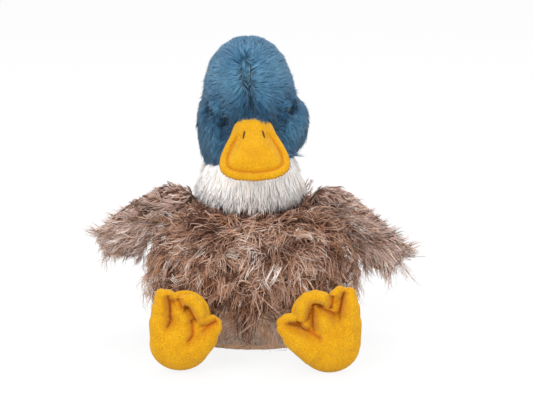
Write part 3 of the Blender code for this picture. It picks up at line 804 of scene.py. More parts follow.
class Pile:
    """Grows strands from a skin and makes them into pieces."""

    CROSS_WIDTH = 0.012             # width of one strand on its map

    def __init__(self, skin: Skin, cut: PileCut, flow: Field, density: Field, tone: Field,
                 length: Field, seed: int, over: tuple[Skin, Vector] | None = None,
                 rise: Field | None = None) -> None:
        """Grow the pile.

        Args:
            skin: What it grows from.
            cut: How it is cut and lies.
            flow: The direction that it is brushed in.
            density: How thickly each spot is covered.
            tone: Each strand's place on its finish's ramp before chance is added.
            length: Each strand's length as a share of the cut's.
            seed: The seed of all chance in it.
            over: Another surface that it lies over, and the way out of that surface.
            rise: How much more it stands up, from 0 to 1, where it isn't cut alike.
        """
        self.cut = cut
        self.rise = rise or nowhere
        self.tree = skin.tree()
        self.over = over and (over[0].tree(), over[1])
        rng = np.random.default_rng(seed)
        self.pattern = StrandPattern(cut.stations)
        self.roots, self.normals = skin.scatter(cut.count, density, rng)
        self.home = self.clump_of_each()
        heads = slice(0, cut.clumps)
        guides, sides = self.guides(flow, length, rng)
        self.paths = self.strand_paths(guides, sides, length, rng)
        clump_tone = tone(self.roots[heads], self.normals[heads]) + rng.normal(
            0, cut.clump_shade, cut.clumps)
        mixed = clump_tone[self.home] + rng.normal(0, cut.own_shade, cut.count)
        self.tones = np.clip(mixed, 0.02, 0.98)
        self.radii = cut.radius * rng.uniform(0.65, 1.35, cut.count)

    def clump_of_each(self) -> Array:
        """Say which clump each strand belongs to: the nearest of the first roots."""
        tree = KDTree(self.cut.clumps)
        for index in range(self.cut.clumps):
            tree.insert(self.roots[index], index)
        tree.balance()
        return np.array([tree.find(root)[1] for root in self.roots])

    def guides(self, flow: Field, length: Field,
               rng: np.random.Generator) -> tuple[Array, Array]:
        """Work out each clump's path, ring by ring.

        Args:
            flow: The direction that the pile is brushed in.
            length: Each strand's length as a share of the cut's.
            rng: The source of chance.

        Returns:
            The paths, one row of ring places for each clump, and each clump's sideways direction.
        """
        cut, rings = self.cut, self.pattern.rings
        roots, normals = self.roots[:cut.clumps], self.normals[:cut.clumps]
        ahead = along_surface(flow(roots, normals), normals)
        side = np.cross(normals, ahead)
        angle = np.radians(rng.normal(0, cut.stray, cut.clumps))[:, None]
        ahead = ahead * np.cos(angle) + side * np.sin(angle)
        side = np.cross(normals, ahead)
        rise = self.rise(roots, normals)[:, None]
        lift = np.radians(cut.lift * rng.uniform(0.7, 1.3, cut.clumps))[:, None] * (1 + rise)
        heading = ahead * np.cos(lift) + normals * np.sin(lift)
        phase = rng.uniform(0, 2 * math.pi, cut.clumps)[:, None]
        turns = cut.turns * rng.uniform(0.6, 1.4, cut.clumps)[:, None]
        size = cut.length * length(roots, normals)[:, None]
        places = [roots]
        line = roots.copy()
        for before, here in zip(rings, rings[1:]):
            step = here - before
            turn = cut.droop * np.array(DOWN) - cut.lay * normals
            heading = unit(heading + step * (1 - rise) * turn)
            line = line + heading * size * step
            wave = phase + 2 * math.pi * turns * here
            swing = (np.cos(wave) - np.cos(phase)) * side + np.sin(wave) * normals
            places.append(line + swing * size * cut.curl * here)
        for place, here in zip(places[1:], rings[1:]):
            heights = (size * cut.stand * here).ravel()
            self.keep_out(place, self.tree, heights)
            if self.over:
                self.lay_over(place, *self.over, heights * 0.3)
        return np.stack(places, axis=1), side

    @staticmethod
    def keep_out(places: Array, tree: BVHTree, heights: Array) -> None:
        """Lift places that lie under or too near a surface, in the array given."""
        for index, place in enumerate(places):
            spot, normal, _, _ = tree.find_nearest(place)
            height = (Vector(place) - spot).dot(normal)
            if height < heights[index]:
                places[index] = spot + normal * heights[index]

    @staticmethod
    def lay_over(places: Array, tree: BVHTree, way: Vector, heights: Array) -> None:
        """Bring places that lie inside a surface out of it one way, in the array given."""
        for index, place in enumerate(places):
            spot, normal, _, _ = tree.ray_cast(Vector(place), way)
            if spot and normal.dot(way) > 0:
                places[index] = spot + way * heights[index]

    def strand_paths(self, guides: Array, sides: Array, length: Field,
                     rng: np.random.Generator) -> Array:
        """Bend each strand along its clump's path and close the clump at its tip.

        Args:
            guides: The clumps' paths.
            sides: The clumps' sideways directions.
            length: Each strand's length as a share of the cut's.
            rng: The source of chance.

        Returns:
            Ring places, one row for each strand.
        """
        cut, rings = self.cut, self.pattern.rings
        own = guides[self.home]
        size = rng.uniform(1 - cut.spread, 1 + cut.spread * 0.5, cut.count)[:, None, None]
        free = self.roots[:, None, :] + (own - own[:, :1]) * size
        closed = own[:, :1] + (own - own[:, :1]) * size
        share = (cut.pull * rings ** cut.closing)[None, :, None]
        paths = free * (1 - share) + closed * share
        reach = cut.length * length(self.roots, self.normals)
        astray = rng.normal(0, 1, (cut.count, 3)) * (cut.own_stray * reach)[:, None]
        phase = rng.uniform(0, 2 * math.pi, (cut.count, 1))
        wave = np.sin(phase + 2 * math.pi * cut.turns * 1.3 * rings[None, :]) - np.sin(phase)
        sway = wave[..., None] * sides[self.home][:, None, :]
        sway = sway * (reach * cut.curl * 0.5)[:, None, None]
        paths = paths + astray[:, None, :] * (rings ** 1.5)[None, :, None] + sway * rings[None, :, None]
        return self.above_floor(paths)

    def above_floor(self, paths: Array) -> Array:
        """Shorten the strands that would go through the floor, so that they end on it."""
        floor = FLOOR_CLEARANCE + self.cut.radius
        roots = paths[:, :1]
        drop = (roots - paths)[..., 2].max(axis=1)
        room = roots[:, 0, 2] - floor
        share = np.clip(room / np.maximum(drop, 1e-6), 0.25, 1)
        paths = roots + (paths - roots) * share[:, None, None]
        paths[..., 2] = np.maximum(paths[..., 2], floor)
        return paths

    def pieces(self, name: str, sectors: Array) -> list[bpy.types.Object]:
        """Make the strands into meshes.

        Args:
            name: The pieces' shared name, to which a sector's number is added.
            sectors: The number of each strand's sector.

        Returns:
            One object for each sector.
        """
        labels = sorted(set(sectors.tolist()))
        made = []
        for label in labels:
            title = name if len(labels) == 1 else f"{name}_{label + 1}"
            made.append(self.piece(title, np.flatnonzero(sectors == label)))
        return made

    def piece(self, name: str, chosen: Array) -> bpy.types.Object:
        """Make one mesh of the chosen strands."""
        pattern, paths = self.pattern, self.paths[chosen]
        run = unit(np.gradient(paths, pattern.rings, axis=1))
        side = unit(np.cross(run, self.normals[chosen][:, None, :] + 1e-4))
        over = np.cross(run, side)
        width = self.radii[chosen][:, None] * (1 - self.cut.taper * pattern.rings[None, :] ** 1.5)
        ring = pattern.ring_of
        spread = (pattern.around[None, :, 0:1] * side[:, ring]
                  + pattern.around[None, :, 1:2] * over[:, ring])
        places = paths[:, ring] + spread * width[:, ring, None]
        count, each = len(chosen), len(ring)
        mesh = bpy.data.meshes.new(name)
        mesh.vertices.add(count * each)
        mesh.vertices.foreach_set("co", places.astype(np.float32).ravel())
        corners = (pattern.corners[None, :] + np.arange(count)[:, None] * each).ravel()
        mesh.loops.add(len(corners))
        mesh.loops.foreach_set("vertex_index", corners.astype(np.int32))
        sizes = np.tile(pattern.face_sizes, count)
        mesh.polygons.add(len(sizes))
        mesh.polygons.foreach_set("loop_start", (np.cumsum(sizes) - sizes).astype(np.int32))
        mesh.update(calc_edges=True)
        across = self.tones[chosen][:, None] + self.CROSS_WIDTH * pattern.spin[None, :]
        up = np.broadcast_to(pattern.rings[ring][None, :], across.shape)
        flat = np.stack([across, up], axis=-1)[:, pattern.corners].astype(np.float32).ravel()
        for layer in (STRAND_MAP, BAKE_MAP):
            mesh.uv_layers.new(name=layer)
            mesh.uv_layers[layer].uv.foreach_set("vector", flat)
        mesh.shade_smooth()
        piece = bpy.data.objects.new(name, mesh)
        bpy.context.scene.collection.objects.link(piece)
        LOG.info("%s: %d strands, %d triangles", name, count,
                 count * int((pattern.face_sizes - 2).sum()))
        return piece


def everywhere(points: Array, normals: Array) -> Array:
    """Cover every spot alike, or give each strand its full length."""
    return np.ones(len(points))


def nowhere(points: Array, normals: Array) -> Array:
    """Leave every spot as it is."""
    return np.zeros(len(points))


def one_sector(points: Array) -> Array:
    """Put every strand in one piece."""
    return np.zeros(len(points), int)


def pie_sectors(points: Array, centre: Vector, count: int) -> Array:
    """Number the slices of a pie round an upright axis, each with as many strands.

    Args:
        points: The strands' roots.
        centre: A point on the axis.
        count: How many slices.

    Returns:
        Each root's slice.
    """
    angle = np.arctan2(points[:, 1] - centre.y, points[:, 0] - centre.x)
    order = np.argsort(np.argsort(angle))
    return order * count // len(points)


# The duck


@dataclass
class Torso:
    """The brown body, its cream base and their piles."""

    detail: int = 6
    inset: float = 0.0038
    pile: PileCut = PileCut(
        length=0.0235, radius=0.00032, count=25800, clumps=6700, lift=42, droop=0.3, lay=1.0,
        stand=0.13, stray=46, own_stray=0.04, pull=0.93, curl=0.25, turns=0.7, spread=0.3,
        closing=0.45, clump_shade=0.28, own_shade=0.08, stations=(0, 0.28, 0.56, 0.8),
    )
    base_pile: PileCut = PileCut(
        length=0.0085, radius=0.00034, count=6400, clumps=2000, lift=14, droop=0.5, lay=0.5,
        stand=0.07, stray=9, own_stray=0.06, pull=0.35, curl=0.04, clump_shade=0.1,
        stations=(0, 0.5),
    )
    sectors: int = 6
    neck_seat: float = 0.0375       # the pile keeps this far from the middles of its round seats
    tail_seat: float = 0.0085
    wing_seat: float = 0.0095
    leg_seat: float = 0.0128
    tuft_x: float = -0.003          # the long tuft that hangs at the front of the hem
    tuft_width: float = 0.007
    tuft_length: float = 1.5
    skins: list[Skin] = field(default_factory=list)

    def build(self, wardrobe: Wardrobe) -> None:
        """Make the skins, then grow the piles."""
        self.neck = joint_place("neck_turn")
        body = skin_from_frame("body_skin", ("body_cover", "body_stuffing"), self.detail, 2)
        base = skin_from_frame("underbody_skin", ("underbody_cover", "bean_bag"), self.detail, 1)
        for skin, finish, slot in ((body, BROWN_SHADE_BACKING, "brown_pile"),
                                   (base, CREAM_BACKING, "cream_plush")):
            keep_floor = skin.points[:, 2] > FLOOR_CLEARANCE * 2
            shallow = skin.normals * (self.inset * keep_floor)[:, None]
            skin.move(skin.points - shallow)
            wardrobe.finish(skin.piece, finish, "torso", slot, fill=0.75)
        pile = Pile(body, self.pile, self.flow, self.density, self.tone, self.length, 11,
                    rise=self.rise)
        sectors = pie_sectors(pile.roots, self.neck, self.sectors)
        for piece in pile.pieces("body_pile", sectors):
            wardrobe.finish(piece, BROWN_PILE, "torso", "brown_pile")
        pile = Pile(base, self.base_pile, self.base_flow, self.base_density, self.base_tone,
                    everywhere, 12)
        for piece in pile.pieces("underbody_pile", one_sector(pile.roots)):
            wardrobe.finish(piece, CREAM_PILE, "torso", "cream_plush")

    def away_from_seats(self, points: Array) -> Array:
        """Keep a pile off the round seats of the neck, wings, legs and tail."""
        clear = gap_to(points, self.neck) > self.neck_seat
        seats = [("tail_lift", self.tail_seat)]
        for side in Side:
            seats.append(("wing_flap_" + side.value, self.wing_seat))
            seats.append(("leg_swing_" + side.value, self.leg_seat))
        for name, radius in seats:
            clear &= gap_to(points, joint_place(name)) > radius
        return clear

    def density(self, points: Array, normals: Array) -> Array:
        """Cover the brown body, but not its open underside or its seats."""
        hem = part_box("body_cover")[0].z
        open_side = (points[:, 2] < hem + 0.005) & (normals[:, 2] < -0.75)
        low = 1 - smooth_step(points[:, 2], 0.046, 0.060)
        thick = 0.7 + 0.3 * np.maximum(low, self.rise(points, normals))
        return (self.away_from_seats(points) & ~open_side) * thick

    def rise(self, points: Array, normals: Array) -> Array:
        """Stand the pile up round the neck, where it meets the collar."""
        across = np.linalg.norm((points - np.array(self.neck))[:, :2], axis=1)
        front = smooth_step(-points[:, 1], 0.015, 0.035)
        return (0.15 + 0.25 * front) * (1 - smooth_step(across, 0.042, 0.060)) * (normals[:, 2] > 0)

    def base_density(self, points: Array, normals: Array) -> Array:
        """Cover the base's sides and not the face it sits on."""
        flat = (normals[:, 2] < -0.8) & (points[:, 2] < 0.006)
        top = (normals[:, 2] > 0.6)
        return (self.away_from_seats(points) & ~flat & ~top).astype(float)

    def flow(self, points: Array, normals: Array) -> Array:
        """Brush the body down and away from the neck, in loose swirls."""
        away = points - np.array(self.neck)
        away[:, 2] *= 0.3
        low = 1 - smooth_step(points[:, 2:], 0.045, 0.065)
        course = unit(away) * (0.6 - 0.4 * low) + np.array(DOWN) * (0.9 + 0.6 * low)
        ahead = along_surface(course, normals)
        side = np.cross(normals, ahead)
        swirl = Wander(0.045, 21)(points) * math.radians(38)
        return ahead * np.cos(swirl)[:, None] + side * np.sin(swirl)[:, None]

    def base_flow(self, points: Array, normals: Array) -> Array:
        """Brush the base straight down."""
        return np.broadcast_to(np.array(DOWN), points.shape)

    def length(self, points: Array, normals: Array) -> Array:
        """Shorten the pile beside the neck, trim it at the hem, and leave a tuft in front."""
        away = gap_to(points, self.neck)
        near = smooth_step(away, 0.036, 0.044)
        hem = smooth_step(points[:, 2], 0.036, 0.060)
        front = (points[:, 1] < 0) * (1 - smooth_step(np.abs(points[:, 0]), 0.030, 0.040))
        tuft = np.exp(-((points[:, 0] - self.tuft_x) / self.tuft_width) ** 2) * (points[:, 1] < 0)
        tuft = tuft * (1 - smooth_step(points[:, 2], 0.046, 0.062))
        ragged = 0.9 - 0.38 * front + 0.22 * Wander(0.014, 25)(points)
        trimmed = np.maximum(ragged + (1 - ragged) * hem, self.tuft_length * tuft)
        shoulder = self.rise(points, normals) * smooth_step(np.abs(points[:, 0]), 0.02, 0.04)
        beside = smooth_step(np.abs(points[:, 0]), 0.022, 0.032) * (normals[:, 2] > 0)
        own = (0.62 + 0.38 * near) * (1 - np.where(points[:, 0] < 0, 0.5, 0.8) * shoulder)
        own = own * (1 - 0.5 * beside * (1 - smooth_step(away, 0.040, 0.058)))
        return own * trimmed * (1 + 0.14 * Wander(0.03, 22)(points))

    def tone(self, points: Array, normals: Array) -> Array:
        """Lay paler and darker patches over the body, and make the flanks pale."""
        flank = smooth_step(np.abs(points[:, 0]), 0.056, 0.066) * (
            1 - smooth_step(points[:, 2], 0.048, 0.060))
        patches = 0.19 * Wander(0.026, 23)(points) + 0.08 * Wander(0.011, 24)(points)
        return 0.41 + patches * (1 - flank) + 0.5 * flank

    def base_tone(self, points: Array, normals: Array) -> Array:
        """Paint the light and shade of soft folds across the base, and make it paler toward the floor.
        """
        # folds is painted light and shade of vertical folds, as stripes of tone; the skin itself isn't
        # folded.
        folds = 0.14 * np.sin(points[:, 0] / 0.0021 + 2.5 * Wander(0.02, 26)(points))
        return 0.80 + folds + 0.5 * (1 - smooth_step(points[:, 2], 0.002, 0.010))


@dataclass
class Collar:
    """The ring of long white pile round the neck."""

    detail: int = 5
    shrink: float = 0.875
    core_share: float = 0.9         # how much more the ball inside is shrunk
    lowest: float = -0.009          # height of the lowest strands over the neck's middle
    shift: Vector = default_vector(-0.0015, 0, 0)
    pile: PileCut = PileCut(
        length=0.0182, radius=0.0004, count=9500, clumps=2600, lift=25, droop=0.15, lay=0.1,
        stand=0.08, stray=9, own_stray=0.05, pull=0.3, curl=0.04, turns=0.8, spread=0.35,
        taper=0.6, stations=(0, 0.35, 0.7),
    )

    def build(self, wardrobe: Wardrobe) -> None:
        """Make the skins of the ring and the ball in it, then grow the pile."""
        self.neck = joint_place("neck_turn")
        ring = skin_from_frame("neck_ring_skin", ("neck_ring",), self.detail, 1,
                               closing=("neck_stuffing",))
        core = skin_from_frame("neck_ball_skin", ("neck_stuffing",), self.detail, 1)
        for skin, body in ((ring, "neck_collar"), (core, "neck_core")):
            skin.scale(self.neck, self.shrink if skin is ring else self.shrink * self.core_share)
            skin.move(skin.points + np.array(self.shift))
            wardrobe.finish(skin.piece, WHITE_BACKING, body, "white_pile", fill=0.7)
        pile = Pile(ring, self.pile, self.flow, self.density, self.tone, self.length, 31,
                    rise=self.rise)
        for piece in pile.pieces("neck_pile", pie_sectors(pile.roots, self.neck, 2)):
            wardrobe.finish(piece, WHITE_PILE, "neck_collar", "white_pile")

    def density(self, points: Array, normals: Array) -> Array:
        """Cover the ring's outside above the body."""
        out = np.sum(normals * unit(points - np.array(self.neck)), axis=1) > 0.3
        out &= normals[:, 2] < np.where(points[:, 1] < self.neck.y, 0.5, 0.75)
        height = points[:, 2] - self.neck.z
        return (out & (height > self.lowest)).astype(float)

    def rise(self, points: Array, normals: Array) -> Array:
        """Lay the pile flat toward the top, under the head, and flare it over the body."""
        height = points[:, 2] - self.neck.z
        flare = 0.45 * (1 - smooth_step(height, -0.006, 0.004)) * (points[:, 0] < 0.008)
        return flare - 0.85 * smooth_step(height, 0.003, 0.012)

    def flow(self, points: Array, normals: Array) -> Array:
        """Brush the ring down, with strands that part a little from each other."""
        side = np.cross(normals, np.array(UP))
        return np.array(DOWN) + side * (0.2 * Wander(0.012, 32)(points))[:, None]

    def length(self, points: Array, normals: Array) -> Array:
        """Shorten the pile toward the ring's lower edge."""
        height = points[:, 2] - self.neck.z
        return 0.75 + 0.25 * smooth_step(height, -0.006, 0.010)

    def tone(self, points: Array, normals: Array) -> Array:
        """Streak the white with a little beige."""
        return 0.66 + 0.16 * Wander(0.010, 33)(points)


@dataclass
class Head:
    """The blue head with its folds, its pile and its eyes."""

    detail: int = 7
    inset: float = 0.0035
    seam: Crease = Crease(((-0.0058, 0.2030), (-0.0042, 0.1861), (-0.0012, 0.1767),
                           (-0.0004, 0.1640)), 0.0062, 0.0024, 0.2)
    gathers: tuple[Crease, ...] = (
        Crease(((-0.0050, 0.1880), (-0.0036, 0.1846)), 0.0030, 0.0022, 0.5),
        Crease(((-0.0018, 0.1785), (-0.0010, 0.1735)), 0.0016, 0.0018, 0.5),
    )
    folds: tuple[Crease, ...] = (
        Crease(((-0.0290, 0.1765), (-0.0270, 0.1673), (-0.0215, 0.1570), (-0.0154, 0.1450)),
               0.0058, 0.0027, 0.3),
        Crease(((0.0284, 0.1795), (0.0262, 0.1702), (0.0215, 0.1620), (0.0161, 0.1500)),
               0.0058, 0.0027, 0.3),
    )
    bill: Bill = field(default_factory=lambda: Bill())
    face_swell: float = 0.0006
    swell_width: float = 0.0065
    heights: tuple[float, ...] = (0.130, 0.137, 0.144, 0.159, 0.166, 0.173, 0.180, 0.194,
                                  0.2015, 0.209, 0.213)
    widths: tuple[float, ...] = (0.70, 0.88, 0.975, 1.05, 1.09, 1.16, 1.14, 1.12,
                                 1.14, 1.17, 1.18)
    leans: tuple[float, ...] = (0, 0, 0, 0, -0.0004, -0.0022, -0.0025, -0.0034, -0.0032,
                                -0.0030, -0.0025)
    crown_rise: float = 0.0039
    brow: Vector = default_vector(0.0025, -0.0345, 0.1668)
    brow_swell: float = 0.0024
    brow_width: float = 0.0140
    skirt: float = 0.0074
    skirt_slant: float = 0.0048
    bill_root: Vector = default_vector(0, -0.034, 0.1545)
    bill_room: Vector = default_vector(0.0100, 0.012, 0.0072)
    eye_turn: float = math.radians(32)
    eye_out: Vector = default_vector(0.0262, -0.021, 0.165)
    eye_radius: float = 0.0034
    eye_sink: float = 0.0033
    stem_radius: float = 0.0016
    stem_length: float = 0.0135
    pile: PileCut = PileCut(
        length=0.0074, radius=0.00024, count=50500, clumps=16200, lift=31, droop=0.1, lay=0.6,
        stand=0.26, stray=7, own_stray=0.07, pull=0.2, curl=0.03, turns=0.7, spread=0.28,
        clump_shade=0.08, own_shade=0.09, stations=(0, 0.5),
    )
    sectors: int = 4

    middle: Vector = default_vector(0, -0.004, 0.172)

    NODES = ("head_panel_left", "head_panel_right", "head_stuffing")

    def build(self, wardrobe: Wardrobe) -> None:
        """Make the skin, fold it, grow the pile and set the eyes."""
        self.neck = joint_place("head_nod")
        self.bill.build(wardrobe)
        skin = skin_from_frame("head_skin", self.NODES, self.detail, 6)
        self.shape(skin)
        self.fold(skin)
        skin.move(skin.points - self.outward(skin) * self.inset)
        wardrobe.finish(skin.piece, BLUE_SHADE_BACKING, "head", "blue_plush", fill=0.8)
        pile = Pile(skin, self.pile, self.flow, self.density, self.tone, self.length, 41,
                    over=(self.bill.skin, self.bill.upward), rise=self.rise)
        for piece in pile.pieces("head_pile", pie_sectors(pile.roots, self.neck, self.sectors)):
            wardrobe.finish(piece, BLUE_PILE, "head", "blue_plush")
        for side in Side:
            self.build_eye(side, wardrobe)

    def shape(self, skin: Skin) -> None:
        """Fill out the crown, lean it a little, and hang the cheeks over the collar."""
        points = skin.points
        height = points[:, 2].copy()
        points[:, 0] *= np.interp(height, self.heights, self.widths)
        points[:, 0] += np.interp(height, self.heights, self.leans)
        points[:, 2] += self.crown_rise * smooth_step(height, 0.17, 0.21)
        drop = self.skirt - self.skirt_slant * points[:, 0] / 0.03
        points[:, 2] -= drop * (1 - smooth_step(height, 0.134, 0.152))
        gap = gap_to(points, self.brow)
        swell = self.brow_swell * np.exp(-(gap / self.brow_width) ** 2)
        skin.move(points + self.outward(skin) * swell[:, None])

    def at_seam(self, points: Array) -> Array:
        """Say which places lie along the face's centre seam."""
        return (np.abs(points[:, 0]) < 0.012) & (points[:, 1] < -0.022) & (points[:, 2] > 0.160)

    def outward(self, skin: Skin) -> Array:
        """The way out at each point: its normal, but away from the middle along the seam."""
        away = unit(skin.points - np.array(self.middle))
        return np.where(self.at_seam(skin.points)[:, None], away, skin.normals)

    def fold(self, skin: Skin) -> None:
        """Sink the face's centre seam and the folds beside the cheeks."""
        points = skin.points
        front = smooth_step(-points[:, 1], 0.0, 0.014)
        depth = sum(crease.sink(points[:, [0, 2]])
                    for crease in (self.seam, *self.gathers, *self.folds))
        for fold in self.folds:
            flat = points[:, [0, 2]]
            spots, shares = nearest_on_path(flat, np.array(fold.path))
            gap = np.linalg.norm(flat - spots, axis=1)
            inside = (np.abs(flat[:, 0]) < np.abs(spots[:, 0])) * smooth_step(shares, 0, 0.3)
            depth = depth - inside * self.face_swell * np.exp(-(gap / self.swell_width) ** 2)
        skin.move(points - self.outward(skin) * (depth * front)[:, None])

    def density(self, points: Array, normals: Array) -> Array:
        """Cover the head, but not its neck socket or the bill's root."""
        from_neck = points - np.array(self.neck)
        socket = (np.linalg.norm(from_neck, axis=1) < 0.042) & (
            np.sum(from_neck * normals, axis=1) < 0)
        near = (points - np.array(self.bill_root)) / np.array(self.bill_room)
        root = np.linalg.norm(near, axis=1) < 1
        eyes = np.zeros(len(points), bool)
        for side in Side:
            centre = np.array(self.eye_centre(side))
            eyes |= np.linalg.norm(points - centre, axis=1) < self.eye_radius * 0.55
        away = unit(points - np.array(self.middle))
        turned = self.at_seam(points) & (np.sum(away * normals, axis=1) < 0.2)
        return (~socket & ~root & ~eyes & ~turned) * (1 - 0.15 * self.folded(points))

    def folded(self, points: Array) -> Array:
        """How near places lie to the folds beside the cheeks, from 0 to 1."""
        flat = points[:, [0, 2]]
        share = sum(fold.sink(flat) / fold.depth for fold in self.folds)
        return np.clip(share, 0, 1) ** 1.5 * (points[:, 1] < 0)

    def rise(self, points: Array, normals: Array) -> Array:
        """Lay the pile flat on the crown and over the bill."""
        return -0.45 * smooth_step(points[:, 2], 0.200, 0.210) - 0.2 * self.over_bill(points)

    def over_bill(self, points: Array) -> Array:
        """How near places lie to the brow over the bill, from 0 to 1."""
        gap = (points - np.array(self.brow)) / np.array((0.015, 0.02, 0.0075))
        return np.exp(-np.sum(gap ** 2, axis=1))

    def hang(self, points: Array) -> Array:
        """How far the pile hangs, from 0 on the face to 1 on the cheeks and the nape."""
        low = 1 - smooth_step(points[:, 2], 0.148, 0.180)
        outer = np.maximum(smooth_step(np.abs(points[:, 0]), 0.017, 0.027),
                           smooth_step(points[:, 1], -0.012, 0.006))
        return low * outer

    def flow(self, points: Array, normals: Array) -> Array:
        """Brush the pile away from the seam, and down on the cheeks."""
        spots, _ = nearest_on_path(points[:, [0, 2]], np.array(self.seam.path))
        middle = np.stack([spots[:, 0], np.full(len(points), -0.030), spots[:, 1]], axis=1)
        hang = self.hang(points)[:, None]
        gap = np.linalg.norm(points[:, [0, 2]] - spots, axis=1)
        parted = (0.3 + 0.7 * smooth_step(gap, 0.001, 0.005))[:, None]
        course = unit(points - middle) * parted * (1 - 0.8 * hang)
        course = course + np.array(DOWN) * (0.1 + 0.3 * (1 - parted) + 1.2 * hang)
        crown = smooth_step(points[:, 2], 0.200, 0.209)[:, None]
        course = course * (1 - 0.8 * crown) + np.array((0, 1, 0)) * (0.2 + 0.8 * crown)
        over_bill = 1 - smooth_step(gap_to(points, self.bill_root), 0.010, 0.019)
        course += np.array((0, -0.3, -1.2)) * over_bill[:, None]
        beside = over_bill * smooth_step(np.abs(points[:, 0]), 0.004, 0.010)
        course[:, 0] -= np.sign(points[:, 0]) * 0.9 * beside
        course += np.array((0, -0.4, -1.4)) * self.over_bill(points)[:, None]
        side = np.cross(normals, unit(course))
        return course + side * (0.2 * Wander(0.020, 42)(points))[:, None]

    def length(self, points: Array, normals: Array) -> Array:
        """Shorten the pile round the bill and in the seam, and let the cheeks hang."""
        bill = gap_to(points, self.bill_root)
        drawn = self.seam.sink(points[:, [0, 2]]) / self.seam.depth
        trimmed = 0.66 + 0.34 * smooth_step(bill, 0.012, 0.03)
        trimmed = trimmed + self.over_bill(points) * (0.3 + 50 * points[:, 0])
        trimmed = trimmed * (1 - 0.25 * self.folded(points))
        rim = 1 - smooth_step(points[:, 2], 0.132, 0.150)
        drawn = drawn * (points[:, 1] < 0) * smooth_step(points[:, 2], 0.168, 0.174)
        crown = smooth_step(points[:, 2], 0.200, 0.210)
        longer = 1 + 0.35 * rim + 0.2 * self.hang(points) - 0.4 * crown
        return trimmed * (1 - 0.15 * drawn) * longer

    def tone(self, points: Array, normals: Array) -> Array:
        """Vary the blue in soft patches, with painted shade in the folds, the seam, round the bill and
        lower down, and a painted highlight beside the seam.
        """
        flat = points[:, [0, 2]]
        bill = gap_to(points, self.bill_root)
        # dark is painted shade round the bill's root; seam is painted shade in the centre seam.
        dark = 0.26 * (1 - smooth_step(bill, 0.012, 0.028))
        seam = self.seam.sink(flat) / self.seam.depth * (
            smooth_step(points[:, 2], 0.167, 0.173) * (1 - smooth_step(points[:, 2], 0.182, 0.188)))
        tuft = np.linalg.norm(flat - np.array((-0.0035, 0.192)), axis=1)
        # low is painted shade on the lower head and painted light on the top.
        low = 0.08 * smooth_step(points[:, 2], 0.15, 0.20) - 0.02
        # pale is a painted highlight on the pile beside the seam.
        pale = 0.25 * (1 - smooth_step(tuft, 0.002, 0.009)) * (points[:, 1] < 0)
        shaggy = 0.1 * Wander(0.006, 44)(points) * self.hang(points)
        # The folds darken as painted shade too.
        return 0.455 + 0.12 * Wander(0.03, 43)(points) + shaggy + pale + low - (
            dark + 0.36 * self.folded(points) + 0.4 * seam * (points[:, 1] < 0))

    def eye_centre(self, side: Side) -> Vector:
        """The middle of an eye's dome."""
        out = Vector((math.cos(self.eye_turn), -math.sin(self.eye_turn), 0)) * self.eye_sink
        spot = self.eye_out - out
        return Vector((side.sign * spot.x, spot.y, spot.z))

    def build_eye(self, side: Side, wardrobe: Wardrobe) -> None:
        """Make a black dome on its stem."""
        centre = self.eye_centre(side)
        inward = Vector((-side.sign * math.cos(self.eye_turn), math.sin(self.eye_turn), 0))
        bm = bmesh.new()
        add_ball(bm, centre, (self.eye_radius,) * 3, facets=32)
        bmesh.ops.bisect_plane(bm, geom=bm.verts[:] + bm.edges[:] + bm.faces[:],
                               plane_co=centre, plane_no=inward, clear_outer=True)
        rim = [edge for edge in bm.edges if edge.is_boundary]
        bmesh.ops.holes_fill(bm, edges=rim)
        turn = UP.rotation_difference(inward).to_matrix().to_4x4()
        stem = Matrix.Translation(centre + inward * self.stem_length / 2) @ turn
        piece = to_object(bm, "eye_dome_" + side.value)
        wardrobe.finish(piece, BLACK_EYE, "head", "black_plastic")
        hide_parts("eye_" + side.value)
        bm = bmesh.new()
        bmesh.ops.create_cone(bm, cap_ends=True, segments=24, radius1=self.stem_radius,
                              radius2=self.stem_radius, depth=self.stem_length, matrix=stem)
        piece = to_object(bm, "eye_stem_" + side.value, smooth=False)
        wardrobe.finish(piece, BLACK_EYE, "head", "black_plastic")
        wardrobe.dress(FRAME["nodes"]["eye_washer_" + side.value], CLEAR_WASHER)


